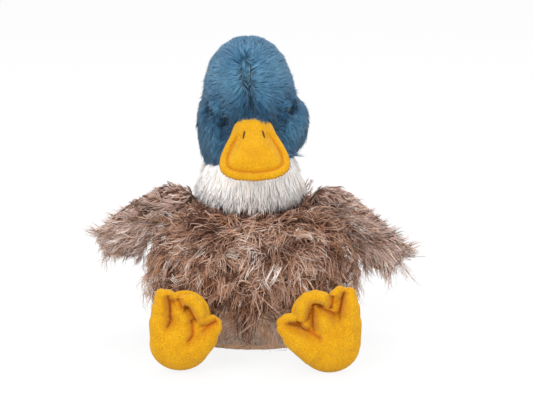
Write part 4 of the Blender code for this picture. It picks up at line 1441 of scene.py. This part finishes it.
@dataclass
class Bill:
    """The yellow velour bill: a plump middle in a flatter stitched rim."""

    length: float = 0.050
    pitch: float = math.radians(47)
    yaw: float = math.radians(2.2)
    roll: float = math.radians(-1.5)
    root: Vector = default_vector(0, -0.0334, 0.1615)
    station_share: tuple[float, ...] = (0, 0.01, 0.03, 0.06, 0.11, 0.17, 0.27, 0.44, 0.605, 0.73,
                                        0.834, 0.917, 0.969, 1)
    half_widths: tuple[float, ...] = (0.0, 0.0046, 0.0078, 0.0104, 0.0127, 0.0138, 0.0154, 0.0196,
                                      0.0229, 0.0239, 0.0231, 0.0194, 0.0134, 0.0)
    rim_width: float = 0.0052
    rim_start: float = 0.27         # share of the length where the rim begins
    rim_half_thick: float = 0.0030
    middle_half_thick: float = 0.0074
    under_share: float = 0.8        # thickness under the middle plane as a share of that over it
    groove_depth: float = 0.0016
    groove_width: float = 0.0010
    edge_radius: float = 0.0026
    grid: int = 150
    nostril_out: float = 0.0066
    nostril_share: float = 0.355
    nostril_splay: float = math.radians(12)
    nostril_length: float = 0.0056
    nostril_radius: float = 0.0006
    nostril_voxel: float = 0.00016
    stitch_count: int = 30
    stitch_length: float = 0.0017
    stitch_radius: float = 0.00028

    def frame_matrix(self) -> Matrix:
        """The bill's frame: local X along it, local Y across, local Z out of its top."""
        along = Vector((0, -math.cos(self.pitch), -math.sin(self.pitch)))
        across = Vector((1, 0, 0))
        turn = Matrix((along, across, along.cross(across))).transposed().to_4x4()
        aim = Matrix.Rotation(self.yaw, 4, "Z") @ Matrix.Rotation(self.roll, 4, "Y")
        return Matrix.Translation(self.root) @ aim @ turn

    def half_width(self, share: Array) -> Array:
        """The outline's half width at shares of the length."""
        fine = np.interp(share, self.station_share, self.half_widths)
        blur = [np.interp(np.clip(share + shift, 0, 1), self.station_share, self.half_widths)
                for shift in (-0.03, 0.03)]
        inner = (share > 0.05) & (share < 0.95)
        return np.where(inner, fine * 0.5 + (blur[0] + blur[1]) * 0.25, fine)

    def outline(self) -> Array:
        """Points round the bill's edge, in its own frame."""
        share = (1 - np.cos(np.linspace(0, math.pi, 180))) / 2
        side = np.stack([share * self.length, self.half_width(share)], axis=1)
        return np.concatenate([side, side[::-1] * (1, -1)])

    def edge_gap(self, x: Array, y: Array) -> Array:
        """How far places along and across the bill lie from its edge."""
        edge = self.outline()
        ends = np.roll(edge, -1, axis=0)
        spots = np.stack([x, y], axis=1)
        run = ends - edge
        square = np.maximum((run ** 2).sum(axis=1), 1e-14)
        nearest = np.full(len(x), 1.0)
        for start, step, size in zip(edge, run, square):
            share = np.clip(((spots - start) @ step) / size, 0, 1)
            gap = np.linalg.norm(spots - start - share[:, None] * step, axis=1)
            nearest = np.minimum(nearest, gap)
        return nearest

    def rim_share(self, x: Array) -> Array:
        """How much of the rim there is at places along the bill."""
        return smooth_step(x, self.rim_start * self.length, (self.rim_start + 0.14) * self.length)

    def groove_share(self, x: Array, y: Array) -> Array:
        """How far places lie in the groove between the middle and the rim, from 0 to 1."""
        inner = self.edge_gap(x, y) - self.rim_width
        return np.exp(-(inner / self.groove_width) ** 2) * self.rim_share(x)

    def heights(self, x: Array, y: Array) -> Array:
        """How far the top stands over the middle plane.

        Args:
            x: Places along the bill.
            y: Places across it.

        Returns:
            Heights, 0 at the edge.
        """
        nearest = self.edge_gap(x, y)
        round_edge = np.sqrt(np.clip(1 - (1 - np.clip(nearest / self.edge_radius, 0, 1)) ** 2, 0, 1))
        inner = nearest - self.rim_width * self.rim_share(x)
        swell = smooth_step(inner, -0.001, 0.0075) * (1 - 0.3 * smooth_step(x, 0.02, self.length))
        groove = self.groove_share(x, y) * self.groove_depth
        body = self.rim_half_thick + (self.middle_half_thick - self.rim_half_thick) * swell
        return round_edge * (body - groove)

    def build(self, wardrobe: Wardrobe) -> None:
        """Make the padded bill, its nostrils and its edge stitches."""
        matrix = self.frame_matrix()
        bm = bmesh.new()
        bmesh.ops.create_uvsphere(bm, u_segments=self.grid, v_segments=self.grid // 2, radius=1)
        co = np.array([vertex.co[:] for vertex in bm.verts])
        share = (co[:, 2] + 1) / 2
        around = np.arctan2(co[:, 1], co[:, 0])
        x = share * self.length
        y = self.half_width(share) * np.cos(around)
        z = self.heights(x, y) * np.sign(np.sin(around) + 1e-9)
        flat = np.abs(np.sin(around)) < 1e-4
        z[flat] = 0
        under = z < 0
        z[under] *= self.under_share
        for vertex, place in zip(bm.verts, np.stack([x, y, z], axis=1)):
            vertex.co = matrix @ Vector(place)
        bmesh.ops.remove_doubles(bm, verts=bm.verts, dist=1e-5)
        bmesh.ops.recalc_face_normals(bm, faces=bm.faces)
        places = np.array([(matrix.inverted() @ vertex.co)[:] for vertex in bm.verts])
        # Painted shade in the groove between the plump middle and the rim.
        self.groove_shade = self.groove_share(places[:, 0], places[:, 1]) * 0.4
        piece = to_object(bm, "bill_velour")
        self.skin = Skin(piece)
        self.upward = (matrix.to_3x3() @ UP).normalized()
        self.skin.mark_crease_shade(self.groove_shade)
        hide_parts("bill_upper", "bill_lower", "bill_stuffing")
        wardrobe.finish(piece, YELLOW_VELOUR, "head", "yellow_velour", fill=0.7)
        for side in Side:
            self.build_nostril(side, matrix, wardrobe)
        self.build_stitches(matrix, wardrobe)

    def build_nostril(self, side: Side, matrix: Matrix, wardrobe: Wardrobe) -> None:
        """Lay one black stitch in the top of the bill."""
        middle = np.array((self.nostril_share * self.length, side.sign * self.nostril_out))
        half = np.array((math.cos(self.nostril_splay),
                         side.sign * math.sin(self.nostril_splay))) * self.nostril_length / 2
        beads = []
        for share in np.linspace(-1, 1, 7):
            spot = middle + half * share
            height = self.heights(spot[:1], spot[1:])[0]
            rise = 0.00025 - 0.0005 * share ** 4
            place = matrix @ Vector((spot[0], spot[1], height + rise))
            beads.append((place, self.nostril_radius * (1 - 0.35 * share * share)))
        bm = bmesh.new()
        add_chain(bm, beads)
        piece = to_object(bm, "nostril_stitch_" + side.value)
        fuse(piece, self.nostril_voxel, 2)
        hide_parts("nostril_" + side.value)
        wardrobe.finish(piece, BLACK_THREAD, "head", "black_thread")

    def build_stitches(self, matrix: Matrix, wardrobe: Wardrobe) -> None:
        """Whip the bill's front edge with small amber stitches."""
        share = np.linspace(0.62, 1.0, 60)
        half = np.stack([share * self.length, self.half_width(share)], axis=1)
        route = np.concatenate([half, half[::-1][1:] * (1, -1)])
        gaps = np.linalg.norm(np.diff(route, axis=0), axis=1)
        travelled = np.concatenate([[0], np.cumsum(gaps)])
        bm = bmesh.new()
        for along in np.linspace(0.001, travelled[-1] - 0.001, self.stitch_count):
            spot = np.array([np.interp(along, travelled, route[:, k]) for k in range(2)])
            ahead = np.array([np.interp(along + 0.0005, travelled, route[:, k]) for k in range(2)])
            run = Vector((*(ahead - spot), 0)).normalized()
            slant = (UP + run * 0.45).normalized() * self.stitch_length / 2
            centre = Vector((*spot, 0))
            add_link(bm, matrix @ (centre - slant), self.stitch_radius,
                     matrix @ (centre + slant), self.stitch_radius, facets=8)
        piece = to_object(bm, "bill_edge_stitches")
        wardrobe.finish(piece, AMBER_THREAD, "head", "yellow_velour")


@dataclass
class Wing:
    """One wing: a flat padded panel under long brown pile brushed to its tip."""

    side: Side
    reach: float = 1.0              # share of the frame's wing that the skin spans
    tip_length: float = 1.0         # length of the pile at the tip, as a share
    slope: float = 0.14             # how much the pile slopes down across the wing
    sag: float = 0.0                # how far the wing hangs below the frame's
    detail: int = 5
    inset: float = 0.0038
    hinge_seat: float = 0.0055      # the pile keeps this far from the hinge's middle
    pile: PileCut = PileCut(
        length=0.0195, radius=0.0003, count=6600, clumps=1700, lift=32, droop=0.05, lay=0.8,
        stand=0.13, stray=24, own_stray=0.05, pull=0.9, curl=0.12, turns=0.55, spread=0.3,
        closing=0.5, clump_shade=0.22, own_shade=0.06, stations=(0, 0.28, 0.56, 0.8),
    )

    def build(self, wardrobe: Wardrobe) -> None:
        """Make the skin, let it hang as far as this wing does, and grow the pile."""
        word = self.side.value
        self.joint = joint_place("wing_flap_" + word)
        low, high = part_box("wing_cover_" + word)
        tip_x = high.x if self.side is Side.LEFT else low.x
        self.tip = Vector((tip_x, 0, low.z + (high.z - low.z) * 0.2))
        skin = skin_from_frame("wing_skin_" + word, ("wing_cover_" + word,
                                                     "wing_stuffing_" + word), self.detail, 2)
        skin.draw_in(self.inset * smooth_step(self.outward(skin.points), 0.0, 0.3))
        points = skin.points
        drawn = (self.reach - 1) * np.maximum(self.outward(points), 0)
        points = points + drawn[:, None] * np.array(self.tip - self.joint)
        turn = Matrix.Rotation(self.side.sign * self.sag, 3, "Y")
        centre = np.array(self.joint)
        skin.move(centre + (points - centre) @ np.array(turn).T)
        wardrobe.finish(skin.piece, BROWN_SHADE_BACKING, "wing_" + word, "brown_pile", fill=0.6)
        seed = 50 + self.side.sign
        pile = Pile(skin, self.pile, self.flow, self.density, self.tone, self.length, seed,
                    rise=self.rise)
        for piece in pile.pieces("wing_pile_" + word, (pile.roots[:, 1] > 0).astype(int)):
            wardrobe.finish(piece, WING_PILE, "wing_" + word, "brown_pile")

    def outward(self, points: Array) -> Array:
        """How far points lie from the hinge along the wing, as a share."""
        reach = np.array(self.tip - self.joint)
        return (points - np.array(self.joint)) @ reach / (reach @ reach)

    def density(self, points: Array, normals: Array) -> Array:
        """Cover the wing from just outside its hinge."""
        return (gap_to(points, self.joint) >= self.hinge_seat).astype(float)

    def shoulder(self, points: Array) -> Array:
        """How near places lie to the wing's root, from 0 to 1."""
        return 1 - smooth_step(self.outward(points), 0.06, 0.3)

    def rise(self, points: Array, normals: Array) -> Array:
        """Lay the pile flat along the lower edge."""
        return -0.7 * smooth_step(-normals[:, 2], 0.1, 0.6)

    def flow(self, points: Array, normals: Array) -> Array:
        """Brush toward the tip, and a little down over the lower edge."""
        reach = np.array((self.tip - self.joint).normalized())
        course = reach + np.array(DOWN) * self.slope
        side = np.cross(normals, np.broadcast_to(reach, points.shape))
        return course + side * (0.3 * Wander(0.03, 52 + self.side.sign)(points))[:, None]

    def length(self, points: Array, normals: Array) -> Array:
        """Shorten the pile along the upper and lower edges, and lengthen it at the tip."""
        tip = smooth_step(self.outward(points), 0.7, 1.0)
        upper = smooth_step(normals[:, 2], -0.1, 0.5) * (1 - 0.1 * self.shoulder(points))
        lower = smooth_step(-normals[:, 2], 0.1, 0.6) * (1 - tip)
        return (1 - 0.74 * upper) * (1 - 0.3 * lower) * (1 + (self.tip_length - 1) * tip)

    def tone(self, points: Array, normals: Array) -> Array:
        """Make the pile paler toward the tip, in patches."""
        patches = Wander(0.026, 55 + self.side.sign)(points)
        return 0.44 + 0.14 * self.outward(points) + 0.1 * patches


@dataclass
class Tail:
    """The upturned tuft at the back."""

    detail: int = 5
    inset: float = 0.0022
    hinge_seat: float = 0.0045      # the pile keeps this far from the hinge's middle
    pile: PileCut = PileCut(
        length=0.0165, radius=0.0003, count=2200, clumps=420, lift=34, droop=0.1, lay=0.6,
        stand=0.13, stray=22, own_stray=0.05, pull=0.9, curl=0.12, turns=0.55, spread=0.3,
        closing=0.5, clump_shade=0.22, own_shade=0.06, stations=(0, 0.28, 0.56, 0.8),
    )

    def build(self, wardrobe: Wardrobe) -> None:
        """Make the skin and the pile."""
        self.joint = joint_place("tail_lift")
        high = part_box("tail_cover")[1]
        self.tip = Vector((0, high.y, high.z))
        skin = skin_from_frame("tail_skin", ("tail_cover", "tail_stuffing"), self.detail, 1)
        skin.draw_in(self.inset)
        wardrobe.finish(skin.piece, BROWN_SHADE_BACKING, "tail", "brown_pile", fill=0.6)
        pile = Pile(skin, self.pile, self.flow, self.density, self.tone, everywhere, 61)
        for piece in pile.pieces("tail_pile", one_sector(pile.roots)):
            wardrobe.finish(piece, BROWN_PILE, "tail", "brown_pile")

    def density(self, points: Array, normals: Array) -> Array:
        """Cover the tuft from just outside its hinge."""
        return (gap_to(points, self.joint) >= self.hinge_seat).astype(float)

    def flow(self, points: Array, normals: Array) -> Array:
        """Brush toward the tip."""
        return np.broadcast_to(np.array((self.tip - self.joint).normalized()), points.shape)

    def tone(self, points: Array, normals: Array) -> Array:
        """Keep the tuft like the body."""
        return 0.5 + 0.14 * Wander(0.02, 62)(points)


@dataclass(frozen=True)
class Bead:
    """One ball of a foot: outward from the ankle, ahead of the seam, upward, and its radius."""

    out: float
    ahead: float
    up: float
    radius: float


SOLE_VALLEY = 0.0026                # depth of the wide valley that a sole's crease lies in


def sole_crease(depth: float, width: float, *path: tuple[float, float]) -> Crease:
    """A crease of a sole, drawn in within a wide shallow valley."""
    return Crease(path, depth, width, valley=SOLE_VALLEY)


@dataclass
class Leg:
    """One leg and its webbed foot in yellow velour."""

    side: Side
    heel: Bead
    web: Bead
    lobes: tuple[tuple[Bead, ...], ...]
    rolls: tuple[tuple[Bead, ...], ...]
    creases: tuple[Crease, ...]
    heel_width: float = 0.0205
    heel_height: float = 0.0184
    web_thick: float = 0.0046
    flatten: float = 0.8
    voxel: float = 0.00045
    leg_detail: int = 5

    def build(self, wardrobe: Wardrobe) -> None:
        """Make the leg's tube, then the foot."""
        word = self.side.value
        self.ankle = joint_place("foot_tilt_" + word)
        leg = skin_from_frame("leg_velour_" + word, ("leg_cover_" + word, "leg_stuffing_" + word),
                              self.leg_detail, 3)
        wardrobe.finish(leg.piece, YELLOW_VELOUR, "leg_" + word, "yellow_velour", fill=0.6)
        self.build_foot(wardrobe)

    def spot(self, bead: Bead) -> Vector:
        """A bead's place in the frame."""
        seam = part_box("foot_sole_" + self.side.value)[1].y
        return Vector((self.ankle.x + self.side.sign * bead.out, seam - bead.ahead, bead.up))

    def build_foot(self, wardrobe: Wardrobe) -> None:
        """Fuse the heel, the lobes of the sole, the web and its rolls, then draw in the creases."""
        word = self.side.value
        bm = bmesh.new()
        add_ball(bm, self.spot(self.heel), (self.heel_width, self.heel.radius, self.heel_height),
                 facets=32)
        add_ball(bm, self.spot(self.web), (self.web.radius, self.web_thick, self.web.radius),
                 facets=32)
        for lobe in self.lobes:
            first = len(bm.verts)
            add_chain(bm, [(self.spot(bead), bead.radius) for bead in lobe])
            bm.verts.ensure_lookup_table()
            plane = self.spot(lobe[0]).y
            for vertex in bm.verts[first:]:
                vertex.co.y = plane + (vertex.co.y - plane) * self.flatten
        for roll in self.rolls:
            add_chain(bm, [(self.spot(bead), bead.radius) for bead in roll])
        piece = to_object(bm, "foot_velour_" + word)
        fuse(piece, self.voxel, 2)
        skin = Skin(piece)
        self.crease(skin)
        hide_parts("foot_sole_" + word, "foot_instep_" + word, "foot_stuffing_" + word)
        wardrobe.finish(piece, YELLOW_VELOUR, "foot_" + word, "yellow_velour", fill=0.7)

    def crease(self, skin: Skin) -> None:
        """Draw the sole in along its creases, paint shade along them, and stand the heel on the floor.
        """
        points = skin.points
        flat = np.stack([(points[:, 0] - self.ankle.x) * self.side.sign, points[:, 2]], axis=1)
        depth = sum(crease.sink(flat) for crease in self.creases)
        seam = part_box("foot_sole_" + self.side.value)[1].y
        seen = np.clip(-skin.normals[:, 1] * 1.6, 0, 1) * (points[:, 1] < seam + 0.003)
        points[:, 1] += np.minimum(depth * seen, np.maximum(seam + 0.0025 - points[:, 1], 0))
        # Painted shade along the creases, on the faces seen from the front.
        line = np.max([crease.crease_shade_share(flat) for crease in self.creases], axis=0)
        skin.mark_crease_shade(line * seen)
        points[:, 2] = np.maximum(points[:, 2], FLOOR_CLEARANCE)
        skin.move(points)


LEFT_LEG = Leg(
    Side.LEFT,
    heel=Bead(0.0064, 0.0005, 0.0186, 0.0084),
    web=Bead(-0.0025, -0.0012, 0.0395, 0.0168),
    lobes=(
        (Bead(0.0194, 0.001, 0.0543, 0.004664), Bead(0.0208, 0.002, 0.0449, 0.005936),
         Bead(0.0205, 0.0025, 0.0348, 0.00742), Bead(0.0191, 0.0015, 0.0227, 0.009328)),
        (Bead(-0.0025, 0.003, 0.0442, 0.002756), Bead(0.0016, 0.003, 0.0368, 0.005724),
         Bead(0.0078, 0.002, 0.026, 0.00901)),
        (Bead(-0.0245, 0.002, 0.0307, 0.004452), Bead(-0.0169, 0.0025, 0.024, 0.007844),
         Bead(-0.0066, 0.002, 0.0166, 0.0106)),
    ),
    rolls=(
        (Bead(0.0133, 0.0015, 0.0563, 0.003848), Bead(0.0098, 0.0015, 0.0536, 0.003744),
         Bead(0.0078, 0.001, 0.0489, 0.00312), Bead(0.0098, 0.0005, 0.0435, 0.00312)),
        (Bead(-0.0118, 0.003, 0.0391, 0.00416), Bead(-0.0121, 0.0035, 0.0462, 0.004368),
         Bead(-0.0087, 0.004, 0.0516, 0.00468), Bead(-0.0032, 0.004, 0.0533, 0.00468),
         Bead(0.0019, 0.0035, 0.0519, 0.004472), Bead(0.0047, 0.003, 0.0492, 0.003744),
         Bead(0.0043, 0.0025, 0.0459, 0.002912)),
        (Bead(-0.0094, 0.0015, 0.0341, 0.004368), Bead(-0.0073, 0.001, 0.0301, 0.00312)),
        (Bead(-0.0176, 0.0015, 0.0381, 0.003536), Bead(-0.0217, 0.0015, 0.0375, 0.003744),
         Bead(-0.0259, 0.001, 0.0348, 0.00312)),
        (Bead(0.0153, -0.0015, 0.0529, 0.003952), Bead(0.0126, -0.0015, 0.0435, 0.004576),
         Bead(-0.0005, -0.0015, 0.0435, 0.004576), Bead(-0.0142, -0.0015, 0.0334, 0.004576),
         Bead(-0.0217, -0.0015, 0.0334, 0.003744)),
    ),
    creases=(
        sole_crease(0.0024, 0.0008, (0.016, 0.0573), (0.0143, 0.0465), (0.0129, 0.0375)),
        sole_crease(0.002, 0.0008, (-0.0046, 0.0455), (-0.0046, 0.0368), (-0.0034, 0.0269)),
        sole_crease(0.0016, 0.0008, (-0.0034, 0.0459), (0.0023, 0.0445), (0.0064, 0.0418),
                    (0.0126, 0.0371)),
        sole_crease(0.0016, 0.0008, (-0.0238, 0.0348), (-0.0135, 0.0314), (-0.0034, 0.0269),
                    (0.0016, 0.024)),
        sole_crease(0.002, 0.0011, (-0.0142, 0.0361), (-0.0135, 0.0314)),
        sole_crease(0.0016, 0.0008, (-0.0108, 0.0348), (-0.0073, 0.0388), (-0.0049, 0.0435),
                    (-0.0046, 0.0475), (-0.0005, 0.0469), (0.0023, 0.0442)),
        sole_crease(0.00144, 0.0008, (0.0084, 0.0543), (0.0081, 0.0489), (0.0064, 0.0435)),
    ),
)
RIGHT_LEG = Leg(
    Side.RIGHT,
    heel=Bead(0.0031, 0.0005, 0.02, 0.0084),
    web=Bead(-0.0003, -0.0012, 0.0395, 0.0168),
    lobes=(
        (Bead(0.0152, 0.001, 0.0536, 0.004452), Bead(0.0159, 0.002, 0.0449, 0.005936),
         Bead(0.0166, 0.0025, 0.0348, 0.007208), Bead(0.0149, 0.0015, 0.0233, 0.009328)),
        (Bead(0.0004, 0.003, 0.0388, 0.003816), Bead(0.0011, 0.003, 0.0314, 0.0053),
         Bead(0.0017, 0.0015, 0.0213, 0.00848)),
        (Bead(-0.0205, 0.002, 0.0314, 0.004664), Bead(-0.0138, 0.002, 0.024, 0.00848),
         Bead(-0.0077, 0.002, 0.0173, 0.010176)),
    ),
    rolls=(
        (Bead(0.0105, 0.0015, 0.0536, 0.003952), Bead(0.0071, 0.0015, 0.0516, 0.003432),
         Bead(0.0065, 0.0015, 0.0469, 0.002704), Bead(0.0075, 0.0015, 0.0408, 0.00312),
         Bead(0.0085, 0, 0.0361, 0.002912)),
        (Bead(0.0024, 0.0025, 0.0469, 0.003536), Bead(-0.0003, 0.0035, 0.0502, 0.00416),
         Bead(-0.005, 0.004, 0.0506, 0.004472), Bead(-0.0084, 0.004, 0.0469, 0.004472),
         Bead(-0.0104, 0.0035, 0.0415, 0.004264), Bead(-0.0111, 0.0025, 0.0375, 0.003744)),
        (Bead(-0.0077, 0.0015, 0.0321, 0.003744), Bead(-0.007, 0.001, 0.0274, 0.00312)),
        (Bead(-0.0145, 0.0015, 0.0361, 0.003536), Bead(-0.0185, 0.0015, 0.0368, 0.003432),
         Bead(-0.0219, 0.001, 0.0348, 0.002912)),
        (Bead(0.0112, -0.0015, 0.0502, 0.003952), Bead(0.0098, -0.0015, 0.0408, 0.004576),
         Bead(-0.0023, -0.0015, 0.0435, 0.004576), Bead(-0.0145, -0.0015, 0.0328, 0.004576)),
    ),
    creases=(
        sole_crease(0.0024, 0.0008, (0.0112, 0.0549), (0.0105, 0.0496), (0.0095, 0.0435),
                    (0.0092, 0.0361), (0.0125, 0.0301)),
        sole_crease(0.002, 0.0008, (-0.0043, 0.0375), (-0.0054, 0.0314), (-0.0054, 0.0267),
                    (-0.0016, 0.0213)),
        sole_crease(0.00144, 0.0007, (-0.0111, 0.0283), (-0.0145, 0.0317), (-0.0192, 0.0348),
                    (-0.0222, 0.0362)),
        sole_crease(0.00176, 0.0011, (0.0004, 0.0449), (-0.003, 0.0445)),
        sole_crease(0.0016, 0.0008, (-0.001, 0.0462), (-0.004, 0.0428), (-0.0064, 0.0381),
                    (-0.0084, 0.0348)),
        sole_crease(0.00128, 0.0008, (0.0038, 0.0522), (0.0024, 0.0475), (0.0004, 0.0442)),
        sole_crease(0.00096, 0.0008, (0.0098, 0.0489), (0.0058, 0.0489)),
    ),
)


# The studio


@dataclass
class Studio:
    """The plain pale floor, the soft light and the camera."""

    floor_size: float = 14.0
    camera_elevation: float = math.radians(12)
    camera_distance: float = 1.6
    camera_lens: float = 154.4
    camera_sensor: float = 36.0
    target: Vector = default_vector(0.0095, 0, 0.0975)
    world_strength: float = 0.84
    floor_glow: float = 0.86

    def build(self) -> None:
        """Set up everything round the duck."""
        self.build_floor()
        self.build_world()
        self.build_lamp("key_light", Vector((-0.85, -1.6, 1.35)), 1.3, 29)
        self.build_lamp("fill_light", Vector((1.25, -1.4, 0.7)), 1.3, 10)
        self.build_lamp("top_light", Vector((0.2, 0.5, 1.9)), 1.2, 16)
        self.build_camera()
        scene = bpy.context.scene
        scene.view_settings.view_transform = "Standard"

    def build_floor(self) -> None:
        """Lay a pale floor that shows nearly white and keeps the duck's shadow."""
        bm = bmesh.new()
        bmesh.ops.create_grid(bm, x_segments=1, y_segments=1, size=self.floor_size / 2)
        floor = to_object(bm, "floor", smooth=False)
        desk = Desk("floor")
        desk.shader.inputs["Base Color"].default_value = screen((228, 228, 228))
        desk.shader.inputs["Roughness"].default_value = 0.9
        glow = desk.add("ShaderNodeEmission")
        path = desk.add("ShaderNodeLightPath")
        seen = desk.add("ShaderNodeMath", operation="MAXIMUM")
        clear = desk.add("ShaderNodeMath", operation="MAXIMUM")
        share = desk.add("ShaderNodeMath", operation="MULTIPLY")
        mix = desk.add("ShaderNodeMixShader")
        share.inputs[1].default_value = self.floor_glow
        desk.link(path.outputs["Is Camera Ray"], seen.inputs[0])
        desk.link(path.outputs["Is Glossy Ray"], seen.inputs[1])
        desk.link(seen.outputs[0], clear.inputs[0])
        desk.link(path.outputs["Is Transmission Ray"], clear.inputs[1])
        desk.link(clear.outputs[0], share.inputs[0])
        desk.link(share.outputs[0], mix.inputs["Fac"])
        desk.link(desk.shader.outputs["BSDF"], mix.inputs[1])
        desk.link(glow.outputs["Emission"], mix.inputs[2])
        desk.link(mix.outputs["Shader"], desk.tree.nodes["Material Output"].inputs["Surface"])
        floor.data.materials.append(desk.material)

    def build_world(self) -> None:
        """Light from all round, and show white to the camera."""
        world = bpy.data.worlds.new("studio")
        bpy.context.scene.world = world
        world.use_nodes = True
        nodes, links = world.node_tree.nodes, world.node_tree.links
        soft = nodes["Background"]
        soft.inputs["Color"].default_value = (1, 1, 1, 1)
        soft.inputs["Strength"].default_value = self.world_strength
        white = nodes.new("ShaderNodeBackground")
        white.inputs["Color"].default_value = (1, 1, 1, 1)
        white.inputs["Strength"].default_value = 1
        path = nodes.new("ShaderNodeLightPath")
        mix = nodes.new("ShaderNodeMixShader")
        links.new(path.outputs["Is Camera Ray"], mix.inputs["Fac"])
        links.new(soft.outputs["Background"], mix.inputs[1])
        links.new(white.outputs["Background"], mix.inputs[2])
        links.new(mix.outputs["Shader"], nodes["World Output"].inputs["Surface"])

    def build_lamp(self, name: str, place: Vector, size: float, power: float) -> None:
        """Hang one square soft lamp that faces the duck.

        Args:
            name: The lamp's name.
            place: Where it hangs.
            size: The length of its side.
            power: Its power in watts.
        """
        lamp = bpy.data.lights.new(name, "AREA")
        lamp.size = size
        lamp.energy = power
        holder = bpy.data.objects.new(name, lamp)
        holder.location = place
        holder.rotation_euler = (self.target - place).to_track_quat("-Z", "Y").to_euler()
        bpy.context.scene.collection.objects.link(holder)

    def build_camera(self) -> None:
        """Put the camera in front of the duck and a little above it."""
        camera = bpy.data.cameras.new("camera")
        camera.lens = self.camera_lens
        camera.sensor_width = self.camera_sensor
        holder = bpy.data.objects.new("camera", camera)
        back = Vector((0, -math.cos(self.camera_elevation), math.sin(self.camera_elevation)))
        holder.location = self.target + back * self.camera_distance
        holder.rotation_euler = (-back).to_track_quat("-Z", "Y").to_euler()
        bpy.context.scene.collection.objects.link(holder)
        bpy.context.scene.camera = holder


def main() -> None:
    """Dress the duck from the body outward, then set up the studio."""
    logging.basicConfig(level=logging.INFO, format="%(name)s: %(message)s")
    wardrobe = Wardrobe()
    parts = [
        Torso(),
        Collar(),
        Head(),
        Wing(Side.LEFT, reach=1.03, tip_length=1.35, slope=0.08, sag=math.radians(3)),
        Wing(Side.RIGHT, reach=1.0, tip_length=1.3, slope=0.13),
        Tail(),
        LEFT_LEG,
        RIGHT_LEG,
    ]
    for part in parts:
        part.build(wardrobe)
    Studio().build()


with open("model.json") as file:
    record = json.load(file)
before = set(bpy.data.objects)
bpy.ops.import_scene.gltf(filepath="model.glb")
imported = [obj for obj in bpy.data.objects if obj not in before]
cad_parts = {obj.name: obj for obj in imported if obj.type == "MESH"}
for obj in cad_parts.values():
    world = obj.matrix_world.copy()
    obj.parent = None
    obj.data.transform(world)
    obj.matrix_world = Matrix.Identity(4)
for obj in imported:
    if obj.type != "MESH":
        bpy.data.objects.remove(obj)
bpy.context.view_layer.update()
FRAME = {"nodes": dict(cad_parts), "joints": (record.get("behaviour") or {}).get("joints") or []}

if __name__ == "__main__":
    main()
